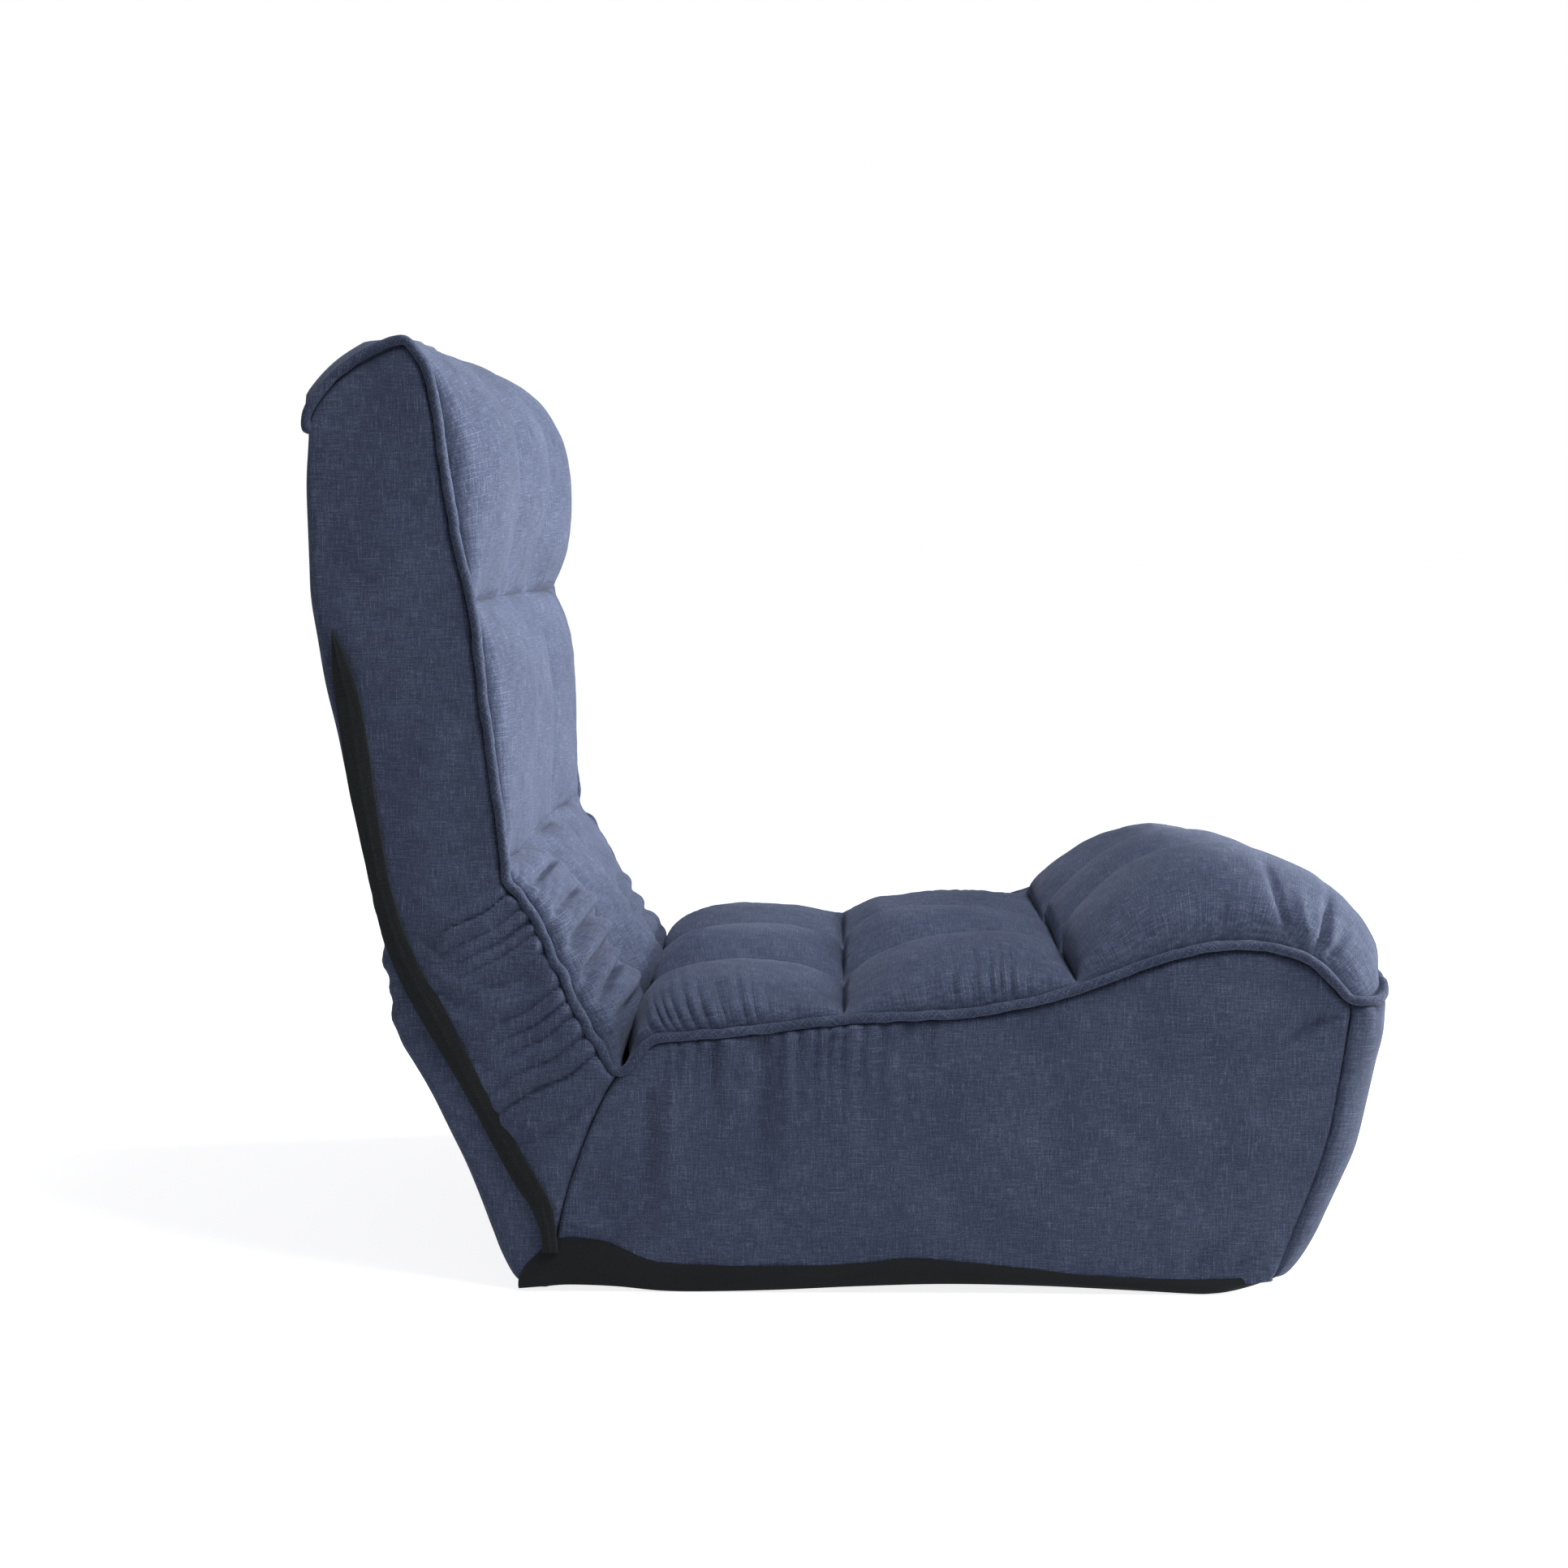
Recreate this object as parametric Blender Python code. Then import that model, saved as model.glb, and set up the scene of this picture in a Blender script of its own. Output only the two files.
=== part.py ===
"""Legless reclining floor chair: seat, back and head sections on ratchet hinges.

Metres, +Z up, +X towards the sitter's knees, +Y to the sitter's left.
"""

import math

import bmesh
import bpy
from mathutils import Vector

# Overall sizes
HALF_WIDTH = 0.270
FRONT_X = 0.396
FRONT_LEAN = 0.27
SEAT_EDGE_HEIGHT = 0.205
CORNER_RADIUS = 0.030

# Hinge line, lean and lengths of the folding sections
HINGE_X = -0.242
HINGE_Z = 0.080
BACK_LEAN = math.radians(13.7)
NECK_DISTANCE = 0.443
HEAD_LENGTH = 0.176
FOLD_FORWARD = math.radians(30.0)
HEAD_FOLD = math.radians(45.0)
RECLINE = math.radians(75.0)
FOLD_MARGIN = math.radians(3.0)

# Gaps, cloth and foam
CLEARANCE = 0.0003
PIPING_RADIUS = 0.0042
PIPING_STANDOUT = 0.0035
SIDE_THICKNESS = 0.0165
SIDE_SOFT_EDGE = 0.0025
BASE_THICKNESS = 0.002
HEM_THICKNESS = 0.0022
HEM_HEIGHT = 0.020
REAR_THICKNESS = 0.004
SLING_THICKNESS = 0.0018
ZIP_THICKNESS = 0.0012
ZIP_WIDTH = 0.018

# Steel tubes
TUBE_RADIUS = 0.0095
TUBE_BORE = 0.0080
RAIL_INSET = 0.034
CROSS_TUBE_RADIUS = 0.0085
SEAT_BEND_RADIUS = 0.060
HEAD_BEND_RADIUS = 0.045
SEAT_FRAME_INSET = 0.130
HOOP_INSET = 0.054
CROSS_TUBE_LOW = 0.085
CROSS_TUBE_HIGH = 0.070
TUBE_SIDES = 10

# Ratchet hinges: sockets and brackets
SOCKET_WALL = 0.0027
SOCKET_LENGTH = 0.030
SOCKET_FLOOR = 0.004
RECLINE_SOCKET_AHEAD = 0.070
CHEEK_RADIUS = 0.0265
CHEEK_THICKNESS = 0.0020
CHEEK_TO_SOCKET = 0.0020
SLOT_PAST_CHEEK = 0.0015
WEB_ON_SOCKET = 0.003
PIN_BOSS_WALL = 0.002
CUT_PAST = 0.01

# Ratchet hinges: toothed arm and rivet
ARM_THICKNESS = 0.0030
ARM_WIDTH = 0.014
ARM_INTO_SOCKET = 0.0015
TOOTH_ROOT = 0.0170
TOOTH_HEIGHT = 0.0025
TOOTH_PITCH = math.radians(7.5)
TOOTH_FOOT_SHARE = 0.30
TOOTH_TIP_SHARE = 0.16
RIVET_RADIUS = 0.0040
RIVET_HEAD_RADIUS = 0.0070
RIVET_HEAD_HEIGHT = 0.0018

# Ratchet hinges: pawl and leaf spring
PAWL_PIN_RADIUS = 0.0022
PAWL_PIN_DISTANCE = 0.0275
PAWL_EYE = 0.0046
PAWL_LEAD = math.radians(38.0)
PAWL_FROM_SOCKET = math.radians(34.0)
PAWL_DEPTH = 0.0052
PAWL_LENGTH = 0.0050
NOSE_GAP = 0.0006
NOSE_TIP_HALF = 0.00025
NOSE_ROOT_HALF = 0.0006
NOSE_SHOULDER = 0.0012
SPRING_THICKNESS = 0.0006
SPRING_LINE = ((0.0, 0.0002), (0.0004, 0.006), (0.0017, 0.0125), (0.0021, 0.017), (0.0012, 0.0200))

# Where the stiff soft pieces stop, so that the cover can fold at the hinges
REST_MARGIN = math.radians(7.5)
SIDE_DISC_RADIUS = 0.026
REAR_TURN = math.radians(205.0)
SOFT_GAP = math.radians(0.8)
FOAM_ABOVE_SOCKET = 0.020
GROOVE_PLAY = 0.001
LUMBAR_ROOT = 0.0503
LUMBAR_NARROW_STEPS = 7
ROOT_GAP = 0.0035
SEAM_STEP = 0.003

# Seams of the cover near the floor, the crease and the head's top
SEAM_AHEAD = 0.041
SEAM_FOOT_AHEAD = 0.0265
SEAM_TURN = math.radians(70.0)
SEAT_START = 0.008
ZIP_FOOT_HEIGHT = 0.044
PIPING_END_SHARE = 0.74

# Outlines of the back: share of the way from hinge to neck, distance in front of the tubes
BACK_FRONT_LINE = ((0.142, 0.0957), (0.181, 0.0844), (0.280, 0.0683), (0.387, 0.0614),
                   (0.452, 0.0561), (0.520, 0.0500), (0.640, 0.0546), (0.787, 0.0603), (0.960, 0.0720))
BACK_REAR_LINE = ((-0.167, -0.0222), (-0.082, -0.0284), (0.005, -0.0335), (0.138, -0.0438), (0.258, -0.0596),
                  (0.353, -0.0590), (0.444, -0.0551), (0.590, -0.0517), (0.725, -0.0504), (0.875, -0.0477),
                  (1.040, -0.0430))
SKIRT_SHARE = 0.450
MID_CROWN = ((0.506, 0.0500), (0.550, 0.0610), (0.611, 0.0740), (0.700, 0.0850),
             (0.790, 0.0920), (0.870, 0.0945), (0.925, 0.0900), (0.948, 0.0820))
LUMBAR_CROWN = ((0.150, 0.0600), (0.168, 0.0880), (0.190, 0.1060), (0.215, 0.1160), (0.245, 0.1200),
                (0.285, 0.1165), (0.335, 0.1080), (0.422, 0.0980), (0.485, 0.0870), (0.506, 0.0730),
                (0.503, 0.0560))
# Outlines of the head: share of the way from neck to top, distance in front of the tubes
HEAD_FRONT_LINE = ((-0.110, 0.0720), (0.060, 0.0710), (0.220, 0.0715), (0.500, 0.0765), (0.780, 0.0805), (1.000, 0.0757))
HEAD_REAR_LINE = ((0.000, -0.0440), (0.200, -0.0375), (0.500, -0.0245), (0.796, -0.0154), (0.870, -0.0060),
                  (0.955, 0.0163), (1.000, 0.0429), (1.005, 0.0757))
HEAD_CROWN = ((-0.080, 0.0860), (0.010, 0.1000), (0.130, 0.1100), (0.350, 0.1190),
              (0.560, 0.1200), (0.750, 0.1110), (0.900, 0.0940), (0.985, 0.0800))
# Seat edge: share of the way from crease to front, height over SEAT_EDGE_HEIGHT
SEAT_LINE = ((0.033, -0.021), (0.080, -0.009), (0.250, 0.000), (0.470, 0.010), (0.630, 0.031),
             (0.740, 0.050), (0.820, 0.054), (0.900, 0.046), (0.950, 0.027), (0.978, 0.019))
SEAT_CROWN = ((0.055, 0.006), (0.085, 0.024), (0.180, 0.034), (0.240, 0.030), (0.278, 0.020),
              (0.315, 0.030), (0.390, 0.049), (0.480, 0.051), (0.555, 0.045), (0.585, 0.036))
ROLL_CROWN = ((0.588, 0.040), (0.618, 0.078), (0.680, 0.106), (0.745, 0.119), (0.805, 0.119),
              (0.880, 0.106), (0.950, 0.083), (0.995, 0.058), (1.008, 0.040), (0.985, 0.0245))

# Tufts
COLUMNS = 3
COLUMN_STEPS = 6
SEAM_SHARE = 0.52
EDGE_SHARE = 0.16

# Values that follow from the sizes above
BODY_Y = HALF_WIDTH - PIPING_STANDOUT
PIPING_Y = HALF_WIDTH - PIPING_RADIUS
QUILT_Y = PIPING_Y - PIPING_RADIUS - CLEARANCE
SIDE_INNER_Y = BODY_Y - SIDE_THICKNESS
RAIL_Y = HALF_WIDTH - RAIL_INSET
SOCKET_RADIUS = TUBE_RADIUS + CLEARANCE + SOCKET_WALL
SOCKET_START = CHEEK_RADIUS + CHEEK_TO_SOCKET
INNER_FOAM_Y = RAIL_Y - SOCKET_RADIUS - CLEARANCE
WIDE_FOAM_Y = SIDE_INNER_Y - CLEARANCE
UNDER_PIPING = PIPING_RADIUS + CLEARANCE
SEAT_RAIL_Z = BASE_THICKNESS + CLEARANCE + SOCKET_RADIUS
SLOT = ARM_THICKNESS + 2 * CLEARANCE
ALONG = Vector((-math.sin(BACK_LEAN), math.cos(BACK_LEAN)))
AHEAD = Vector((math.cos(BACK_LEAN), math.sin(BACK_LEAN)))
HINGE = Vector((HINGE_X, HINGE_Z))
RECLINE_SOCKET_X = HINGE_X + RECLINE_SOCKET_AHEAD
NECK = HINGE + NECK_DISTANCE * ALONG
FRAME_ANGLE = math.pi / 2 + BACK_LEAN


def clear_scene():
    for item in list(bpy.data.objects):
        bpy.data.objects.remove(item, do_unlink=True)


def make_material(name, colour, roughness, metallic):
    material = bpy.data.materials.new(name)
    material.use_nodes = True
    shader = material.node_tree.nodes["Principled BSDF"]
    shader.inputs["Base Color"].default_value = (*colour, 1.0)
    shader.inputs["Roughness"].default_value = roughness
    shader.inputs["Metallic"].default_value = metallic
    material.diffuse_color = (*colour, 1.0)
    return material


LOOKS = {
    "cloth": ((0.052, 0.070, 0.125), 0.88, 0.0),
    "black": ((0.012, 0.013, 0.014), 0.80, 0.0),
    "foam": ((0.78, 0.74, 0.62), 0.95, 0.0),
    "sling": ((0.30, 0.30, 0.30), 0.85, 0.0),
    "steel": ((0.16, 0.16, 0.17), 0.45, 0.9),
    "zinc": ((0.62, 0.62, 0.60), 0.35, 1.0),
}


def finish(name, mesh_data, look, pivot=None, smooth=False):
    """Makes the named object with its own material and its origin on its joint's axis."""
    bmesh.ops.recalc_face_normals(mesh_data, faces=mesh_data.faces)
    origin = Vector((pivot.x, 0.0, pivot.y)) if pivot else Vector()
    bmesh.ops.translate(mesh_data, verts=mesh_data.verts, vec=-origin)
    for face in mesh_data.faces:
        face.smooth = smooth
    mesh = bpy.data.meshes.new(name)
    mesh_data.to_mesh(mesh)
    mesh_data.free()
    mesh.materials.append(make_material(name, *LOOKS[look]))
    result = bpy.data.objects.new(name, mesh)
    result.location = origin
    bpy.context.scene.collection.objects.link(result)
    return result


# Curves in the side view

def on_back(share, ahead):
    return HINGE + NECK_DISTANCE * share * ALONG + ahead * AHEAD


def on_head(share, ahead):
    return NECK + HEAD_LENGTH * share * ALONG + ahead * AHEAD


def polar(centre, radius, angle):
    return centre + radius * Vector((math.cos(angle), math.sin(angle)))


def arc(centre, radius, start, end, count):
    return [polar(centre, radius, start + (end - start) * step / count) for step in range(count + 1)]


def spline(points, count):
    """Even points on a smooth curve through the given ones."""
    ends = [2 * points[0] - points[1]] + list(points) + [2 * points[-1] - points[-2]]
    fine = []
    per_span = 12
    for span in range(len(points) - 1):
        a, b, c, d = ends[span:span + 4]
        for step in range(per_span):
            t = step / per_span
            fine.append(0.5 * (2 * b + (c - a) * t + (2 * a - 5 * b + 4 * c - d) * t ** 2
                               + (3 * b - a - 3 * c + d) * t ** 3))
    fine.append(points[-1].copy())
    return resample(fine, count)


def resample(line, count):
    lengths = [0.0]
    for a, b in zip(line, line[1:]):
        lengths.append(lengths[-1] + (b - a).length)
    result = []
    span = 0
    for step in range(count + 1):
        target = lengths[-1] * step / count
        while span < len(line) - 2 and lengths[span + 1] < target:
            span += 1
        share = (target - lengths[span]) / max(lengths[span + 1] - lengths[span], 1e-9)
        result.append(line[span].lerp(line[span + 1], min(max(share, 0.0), 1.0)))
    return result


def shift(line, distance):
    """The line moved to its left side by a distance."""
    result = []
    for place, point in enumerate(line):
        before = line[max(place - 1, 0)]
        after = line[min(place + 1, len(line) - 1)]
        along = (after - before).normalized()
        result.append(point + distance * Vector((-along.y, along.x)))
    return result


def inset_outline(outline, distance):
    """A closed outline, given anticlockwise, drawn in by a distance."""
    result = []
    count = len(outline)
    for place, point in enumerate(outline):
        before = (point - outline[place - 1]).normalized()
        after = (outline[(place + 1) % count] - point).normalized()
        side = Vector((-before.y - after.y, before.x + after.x))
        mitre = max(side.length_squared / 2, 0.6)
        result.append(point + distance * side / mitre)
    return result


def cut_line(line, keep):
    """The part of a line where keep is true, ending on the edge of that region."""
    result = []
    for a, b in zip(line, line[1:]):
        if keep(a):
            result.append(a)
        if keep(a) != keep(b):
            low, high = 0.0, 1.0
            for _ in range(20):
                middle = (low + high) / 2
                if keep(a.lerp(b, middle)) == keep(a):
                    low = middle
                else:
                    high = middle
            result.append(a.lerp(b, low if keep(a) else high))
    if keep(line[-1]):
        result.append(line[-1])
    return result


def anticlockwise(outline):
    area = sum(a.x * b.y - b.x * a.y for a, b in zip(outline, outline[1:] + outline[:1]))
    return outline if area > 0 else outline[::-1]


def hull(points):
    """The convex outline round a set of points, anticlockwise."""
    ordered = sorted({(round(p.x, 7), round(p.y, 7)) for p in points})
    halves = []
    for sequence in (ordered, ordered[::-1]):
        half = []
        for p in sequence:
            while len(half) > 1 and ((half[-1][0] - half[-2][0]) * (p[1] - half[-2][1])
                                     - (half[-1][1] - half[-2][1]) * (p[0] - half[-2][0])) <= 0:
                half.pop()
            half.append(p)
        halves += half[:-1]
    return [Vector(p) for p in halves]


# Solids

def loft(rings, closed=False):
    """A closed solid through rings of equal point count, with flat ends unless it is closed."""
    solid = bmesh.new()
    rows = [[solid.verts.new(point) for point in ring] for ring in rings]
    pairs = list(zip(rows, rows[1:]))
    if closed:
        pairs.append((rows[-1], rows[0]))
    for low, high in pairs:
        for place in range(len(low)):
            after = (place + 1) % len(low)
            solid.faces.new((low[place], low[after], high[after], high[place]))
    if not closed:
        solid.faces.new(rows[0][::-1])
        solid.faces.new(rows[-1])
    return solid


def plate(outline, low, high):
    """A side-view outline given thickness across the chair."""
    return loft([[Vector((p.x, y, p.y)) for p in outline] for y in (low, high)])


def soft_plate(outline, inner, outer):
    """A padded side panel: flat inside, its outer edge drawn in under the piping."""
    outline = anticlockwise(outline)
    drawn_in = inset_outline(outline, SIDE_SOFT_EDGE)
    shoulder = outer - math.copysign(SIDE_SOFT_EDGE * 0.6, outer)
    layers = ((outline, inner), (outline, shoulder), (drawn_in, outer))
    return loft([[Vector((p.x, y, p.y)) for p in points] for points, y in layers])


def strip(line, thickness, half_width):
    """A thick cloth panel that follows a side-view line, thick to the line's left."""
    far = shift(line, thickness)
    outline = line + far[::-1]
    return plate(outline, -half_width, half_width)


def rod(path, radius, sides, bore=0.0):
    """A bar along a path, or an open-ended tube where a bore is given."""
    rings = []
    walls = [(radius, path)]
    if bore:
        walls.append((bore, path[::-1]))
    for wall, route in walls:
        side = None
        for place, point in enumerate(route):
            before = route[max(place - 1, 0)]
            after = route[min(place + 1, len(route) - 1)]
            along = (after - before).normalized()
            if side is None:
                side = along.orthogonal().normalized()
            side = (side - side.dot(along) * along).normalized()
            up = along.cross(side)
            ring = []
            for step in range(sides):
                angle = 2 * math.pi * step / sides
                turn = math.cos(angle) * side + math.sin(angle) * up
                ring.append(point + wall * turn)
            rings.append(ring)
    if not bore:
        return loft(rings)
    return hollow(rings, len(path), sides)


def hollow(rings, count, sides):
    """Joins the outer and the inner wall of a tube at both mouths."""
    solid = bmesh.new()
    outer = [[solid.verts.new(p) for p in ring] for ring in rings[:count]]
    inner = [[solid.verts.new(p) for p in ring] for ring in rings[count:]]
    for wall in (outer, inner):
        for low, high in zip(wall, wall[1:]):
            for place in range(sides):
                after = (place + 1) % sides
                solid.faces.new((low[place], low[after], high[after], high[place]))
    for edge, mouth in ((outer[-1], inner[0]), (inner[-1], outer[0])):
        nearest = min(range(sides), key=lambda k: (mouth[k].co - edge[0].co).length)
        turn = 1 if (mouth[(nearest + 1) % sides].co - edge[1].co).length < \
            (mouth[nearest - 1].co - edge[1].co).length else -1
        for place in range(sides):
            after = (place + 1) % sides
            a = mouth[(nearest + turn * place) % sides]
            b = mouth[(nearest + turn * after) % sides]
            solid.faces.new((edge[place], edge[after], b, a))
    return solid


def joined(first, second, operation):
    """Adds or cuts the second solid and gives back the first."""
    holders = []
    for number, solid in enumerate((first, second)):
        bmesh.ops.recalc_face_normals(solid, faces=solid.faces)
        mesh = bpy.data.meshes.new("working")
        solid.to_mesh(mesh)
        solid.free()
        holder = bpy.data.objects.new("working", mesh)
        bpy.context.scene.collection.objects.link(holder)
        holders.append(holder)
    cut = holders[0].modifiers.new("combine", "BOOLEAN")
    cut.operation = operation
    cut.solver = "EXACT"
    cut.object = holders[1]
    evaluated = holders[0].evaluated_get(bpy.context.evaluated_depsgraph_get())
    result = bmesh.new()
    result.from_mesh(evaluated.to_mesh())
    bmesh.ops.remove_doubles(result, verts=result.verts, dist=1e-6)
    bmesh.ops.dissolve_limit(result, angle_limit=math.radians(0.5), verts=result.verts, edges=result.edges)
    evaluated.to_mesh_clear()
    for holder in holders:
        mesh = holder.data
        bpy.data.objects.remove(holder, do_unlink=True)
        bpy.data.meshes.remove(mesh)
    return result


def flat(point, y):
    return Vector((point.x, y, point.y))


# Tufted covers

def swell(share):
    """Height of a tuft over its columns: seams between them, drawn in at both edges."""
    column = share * COLUMNS
    place = column - math.floor(column)
    bump = math.sin(math.pi * place) ** 0.55 if 0.0 < place < 1.0 else 0.0
    at_edge = min(column, COLUMNS - column) < 0.5
    floor = EDGE_SHARE if at_edge else SEAM_SHARE
    return floor + (1.0 - floor) * bump


def quilt(base, crown, half_width, buried=0):
    """A padded cover between its base line and its crown line, tufted across the chair.

    The first buried points of the lines lie inside the crease and keep their full thickness.
    """
    count = COLUMNS * COLUMN_STEPS
    solid = bmesh.new()
    upper = []
    lower = []
    for step in range(count + 1):
        share = step / count
        level = swell(share)
        top_row = []
        low_row = []
        for place, (low, high) in enumerate(zip(base, crown)):
            width = half_width[place] if isinstance(half_width, list) else half_width
            y = width * (2 * share - 1)
            amount = 1.0 if place < buried else level
            low_row.append(solid.verts.new(flat(low, y)))
            top_row.append(solid.verts.new(flat(low.lerp(high, amount), y)))
        upper.append(top_row)
        lower.append(low_row)
    for rows in (upper, lower):
        for a, b in zip(rows, rows[1:]):
            for place in range(len(base) - 1):
                solid.faces.new((a[place], a[place + 1], b[place + 1], b[place]))
    for a, b in ((upper[0], lower[0]), (upper[-1], lower[-1])):
        for place in range(len(base) - 1):
            solid.faces.new((a[place], a[place + 1], b[place + 1], b[place]))
    for place in (0, -1):
        for step in range(count):
            solid.faces.new((upper[step][place], upper[step + 1][place],
                             lower[step + 1][place], lower[step][place]))
    return solid


# Lines shared by the pieces

def front_line():
    return spline([on_back(*p) for p in BACK_FRONT_LINE], 26)


def rear_line():
    return spline([on_back(*p) for p in BACK_REAR_LINE], 26)


def seat_line():
    crease = on_back(*BACK_FRONT_LINE[0])
    reach = FRONT_X - crease.x
    points = [crease] + [Vector((crease.x + reach * share, SEAT_EDGE_HEIGHT + rise)) for share, rise in SEAT_LINE]
    return spline(points, 30)


def seat_curve(points, count):
    crease = on_back(*BACK_FRONT_LINE[0])
    reach = FRONT_X - crease.x
    return spline([Vector((crease.x + reach * share, SEAT_EDGE_HEIGHT + rise)) for share, rise in points], count)


def head_front_line():
    return spline([on_head(*p) for p in HEAD_FRONT_LINE], 12)


def head_rear_line():
    """Up the rear and over the top to the front corner."""
    return spline([on_head(*p) for p in HEAD_REAR_LINE], 16)


def angle_round(centre, point):
    """Direction of a point seen from a centre, in the turn that starts straight below it."""
    turn = math.atan2(point.y - centre.y, point.x - centre.x)
    return turn if turn > -SEAM_TURN else turn + 2 * math.pi


def crease_point():
    return on_back(*BACK_FRONT_LINE[0])


def crease_angle():
    """The back's stiff pieces stay behind this line, so that folding forward clears the seat."""
    return angle_round(HINGE, crease_point()) + FOLD_FORWARD + REST_MARGIN


def seam_foot():
    """Lower end of the seam between the back's and the seat's side cloth."""
    return Vector((HINGE_X + SEAM_FOOT_AHEAD, BASE_THICKNESS + CLEARANCE))


def front_x(height):
    return FRONT_X - FRONT_LEAN * (SEAT_EDGE_HEIGHT + SEAT_LINE[-1][1] - height)


def side_seam(gap):
    """The seam from the crease to the floor, moved forwards by a gap."""
    crease = crease_point()
    bend = HINGE + Vector((SEAM_AHEAD, 0.0))
    return [Vector((p.x + gap, p.y)) for p in spline([crease, bend, seam_foot()], 6)]


# Seat section

def build_seat():
    line = seat_line()
    under = shift(line, -UNDER_PIPING)
    seam = side_seam(CLEARANCE)
    floor = BASE_THICKNESS + CLEARANCE
    front_top = front_x(under[-1].y) - CORNER_RADIUS - CLEARANCE
    top_edge = cut_line(under, lambda p: p.x < front_top and p.x > seam[0].x)
    outline = top_edge + [Vector((front_x(floor) - CORNER_RADIUS - CLEARANCE, floor))] + seam[::-1]
    for side, name in ((1, "left"), (-1, "right")):
        finish("seat_side_" + name, soft_plate(outline, side * SIDE_INNER_Y, side * BODY_Y), "cloth")
        edge = cut_line(line, lambda p: seam[0].x + PIPING_RADIUS < p.x < front_top)
        route = [flat(p, side * PIPING_Y) for p in edge]
        finish("seat_piping_" + name, rod(route, PIPING_RADIUS, 6), "cloth", smooth=True)
    build_front_panel(line[-1].y - UNDER_PIPING - CLEARANCE)
    build_front_piping(front_top, line[-1].y)
    build_base_cloth()
    build_seat_frame()
    build_seat_foam(under)
    build_seat_covers(line)


def corner_plan(half_width, front, rear, radius):
    """Half plan of the seat's front with one rounded corner, from the middle to the rear."""
    centre = Vector((front - radius, half_width - radius))
    return [Vector((front, 0.0))] + arc(centre, radius, 0.0, math.pi / 2, 5) + [Vector((rear, half_width))]


def mirrored(points):
    return points + [Vector((p.x, -p.y)) for p in points[::-1] if p.y > 0]


def leaning_prism(plan, low, high):
    """A plan outline lofted between two heights, leaning with the seat's front."""
    rings = []
    for height in (low, high):
        lean = front_x(height) - FRONT_X
        rings.append([Vector((p.x + lean, p.y, height)) for p in plan])
    return loft(rings)


def build_front_panel(top):
    inner = FRONT_X - SIDE_THICKNESS
    seam = FRONT_X - CORNER_RADIUS
    outer = corner_plan(BODY_Y, FRONT_X, seam, CORNER_RADIUS)
    plan = mirrored(outer + [Vector((seam, SIDE_INNER_Y)), Vector((inner, SIDE_INNER_Y))])
    finish("seat_front_panel", leaning_prism(plan, BASE_THICKNESS + CLEARANCE, top), "cloth")


def build_front_piping(start, height):
    reach = FRONT_X - PIPING_RADIUS + PIPING_STANDOUT
    corner = corner_plan(PIPING_Y, reach, start + 2 * CLEARANCE, CORNER_RADIUS)
    plan = mirrored(corner[1:])
    route = [Vector((p.x, p.y, height)) for p in plan[len(plan) // 2:] + plan[:len(plan) // 2]]
    finish("front_piping", rod(route, PIPING_RADIUS, 6), "cloth", smooth=True)


def build_base_cloth():
    rear = on_back(*BACK_REAR_LINE[0]).x
    lean = front_x(0.0) - FRONT_X
    outer_y = BODY_Y + CLEARANCE + HEM_THICKNESS
    outer = corner_plan(outer_y, FRONT_X + CLEARANCE + HEM_THICKNESS, rear - lean, CORNER_RADIUS)
    inner = corner_plan(BODY_Y + CLEARANCE, FRONT_X + CLEARANCE, rear - lean - HEM_HEIGHT, CORNER_RADIUS)
    tray = leaning_prism(mirrored(outer), 0.0, HEM_HEIGHT)
    hollow_part = leaning_prism(mirrored(inner), BASE_THICKNESS, 2 * HEM_HEIGHT)
    finish("base_cloth", joined(tray, hollow_part, "DIFFERENCE"), "black")


def bent_frame(legs_from, cross_at, bend, place):
    """A U of tube: two legs and a cross run with round bends; place turns (along, y) to 3-D."""
    corner = arc(Vector((cross_at - bend, RAIL_Y - bend)), bend, math.pi / 2, 0.0, 5)
    half = [Vector((legs_from, RAIL_Y))] + corner
    plan = half + [Vector((p.x, -p.y)) for p in half[::-1]]
    return [place(p) for p in plan]


def build_seat_frame():
    start = RECLINE_SOCKET_X + SOCKET_FLOOR + CLEARANCE
    front = FRONT_X - SEAT_FRAME_INSET
    route = bent_frame(start, front, SEAT_BEND_RADIUS, lambda p: Vector((p.x, p.y, SEAT_RAIL_Z)))
    finish("seat_frame", rod(route, TUBE_RADIUS, TUBE_SIDES, TUBE_BORE), "steel", smooth=True)
    low = SEAT_RAIL_Z + TUBE_RADIUS + CLEARANCE
    rear = RECLINE_SOCKET_X + SOCKET_LENGTH + 4 * CLEARANCE
    outline = [Vector((rear, low)), Vector((front, low)),
               Vector((front, low + SLING_THICKNESS)), Vector((rear, low + SLING_THICKNESS))]
    finish("seat_sling", plate(outline, -RAIL_Y, RAIL_Y), "sling")


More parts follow.
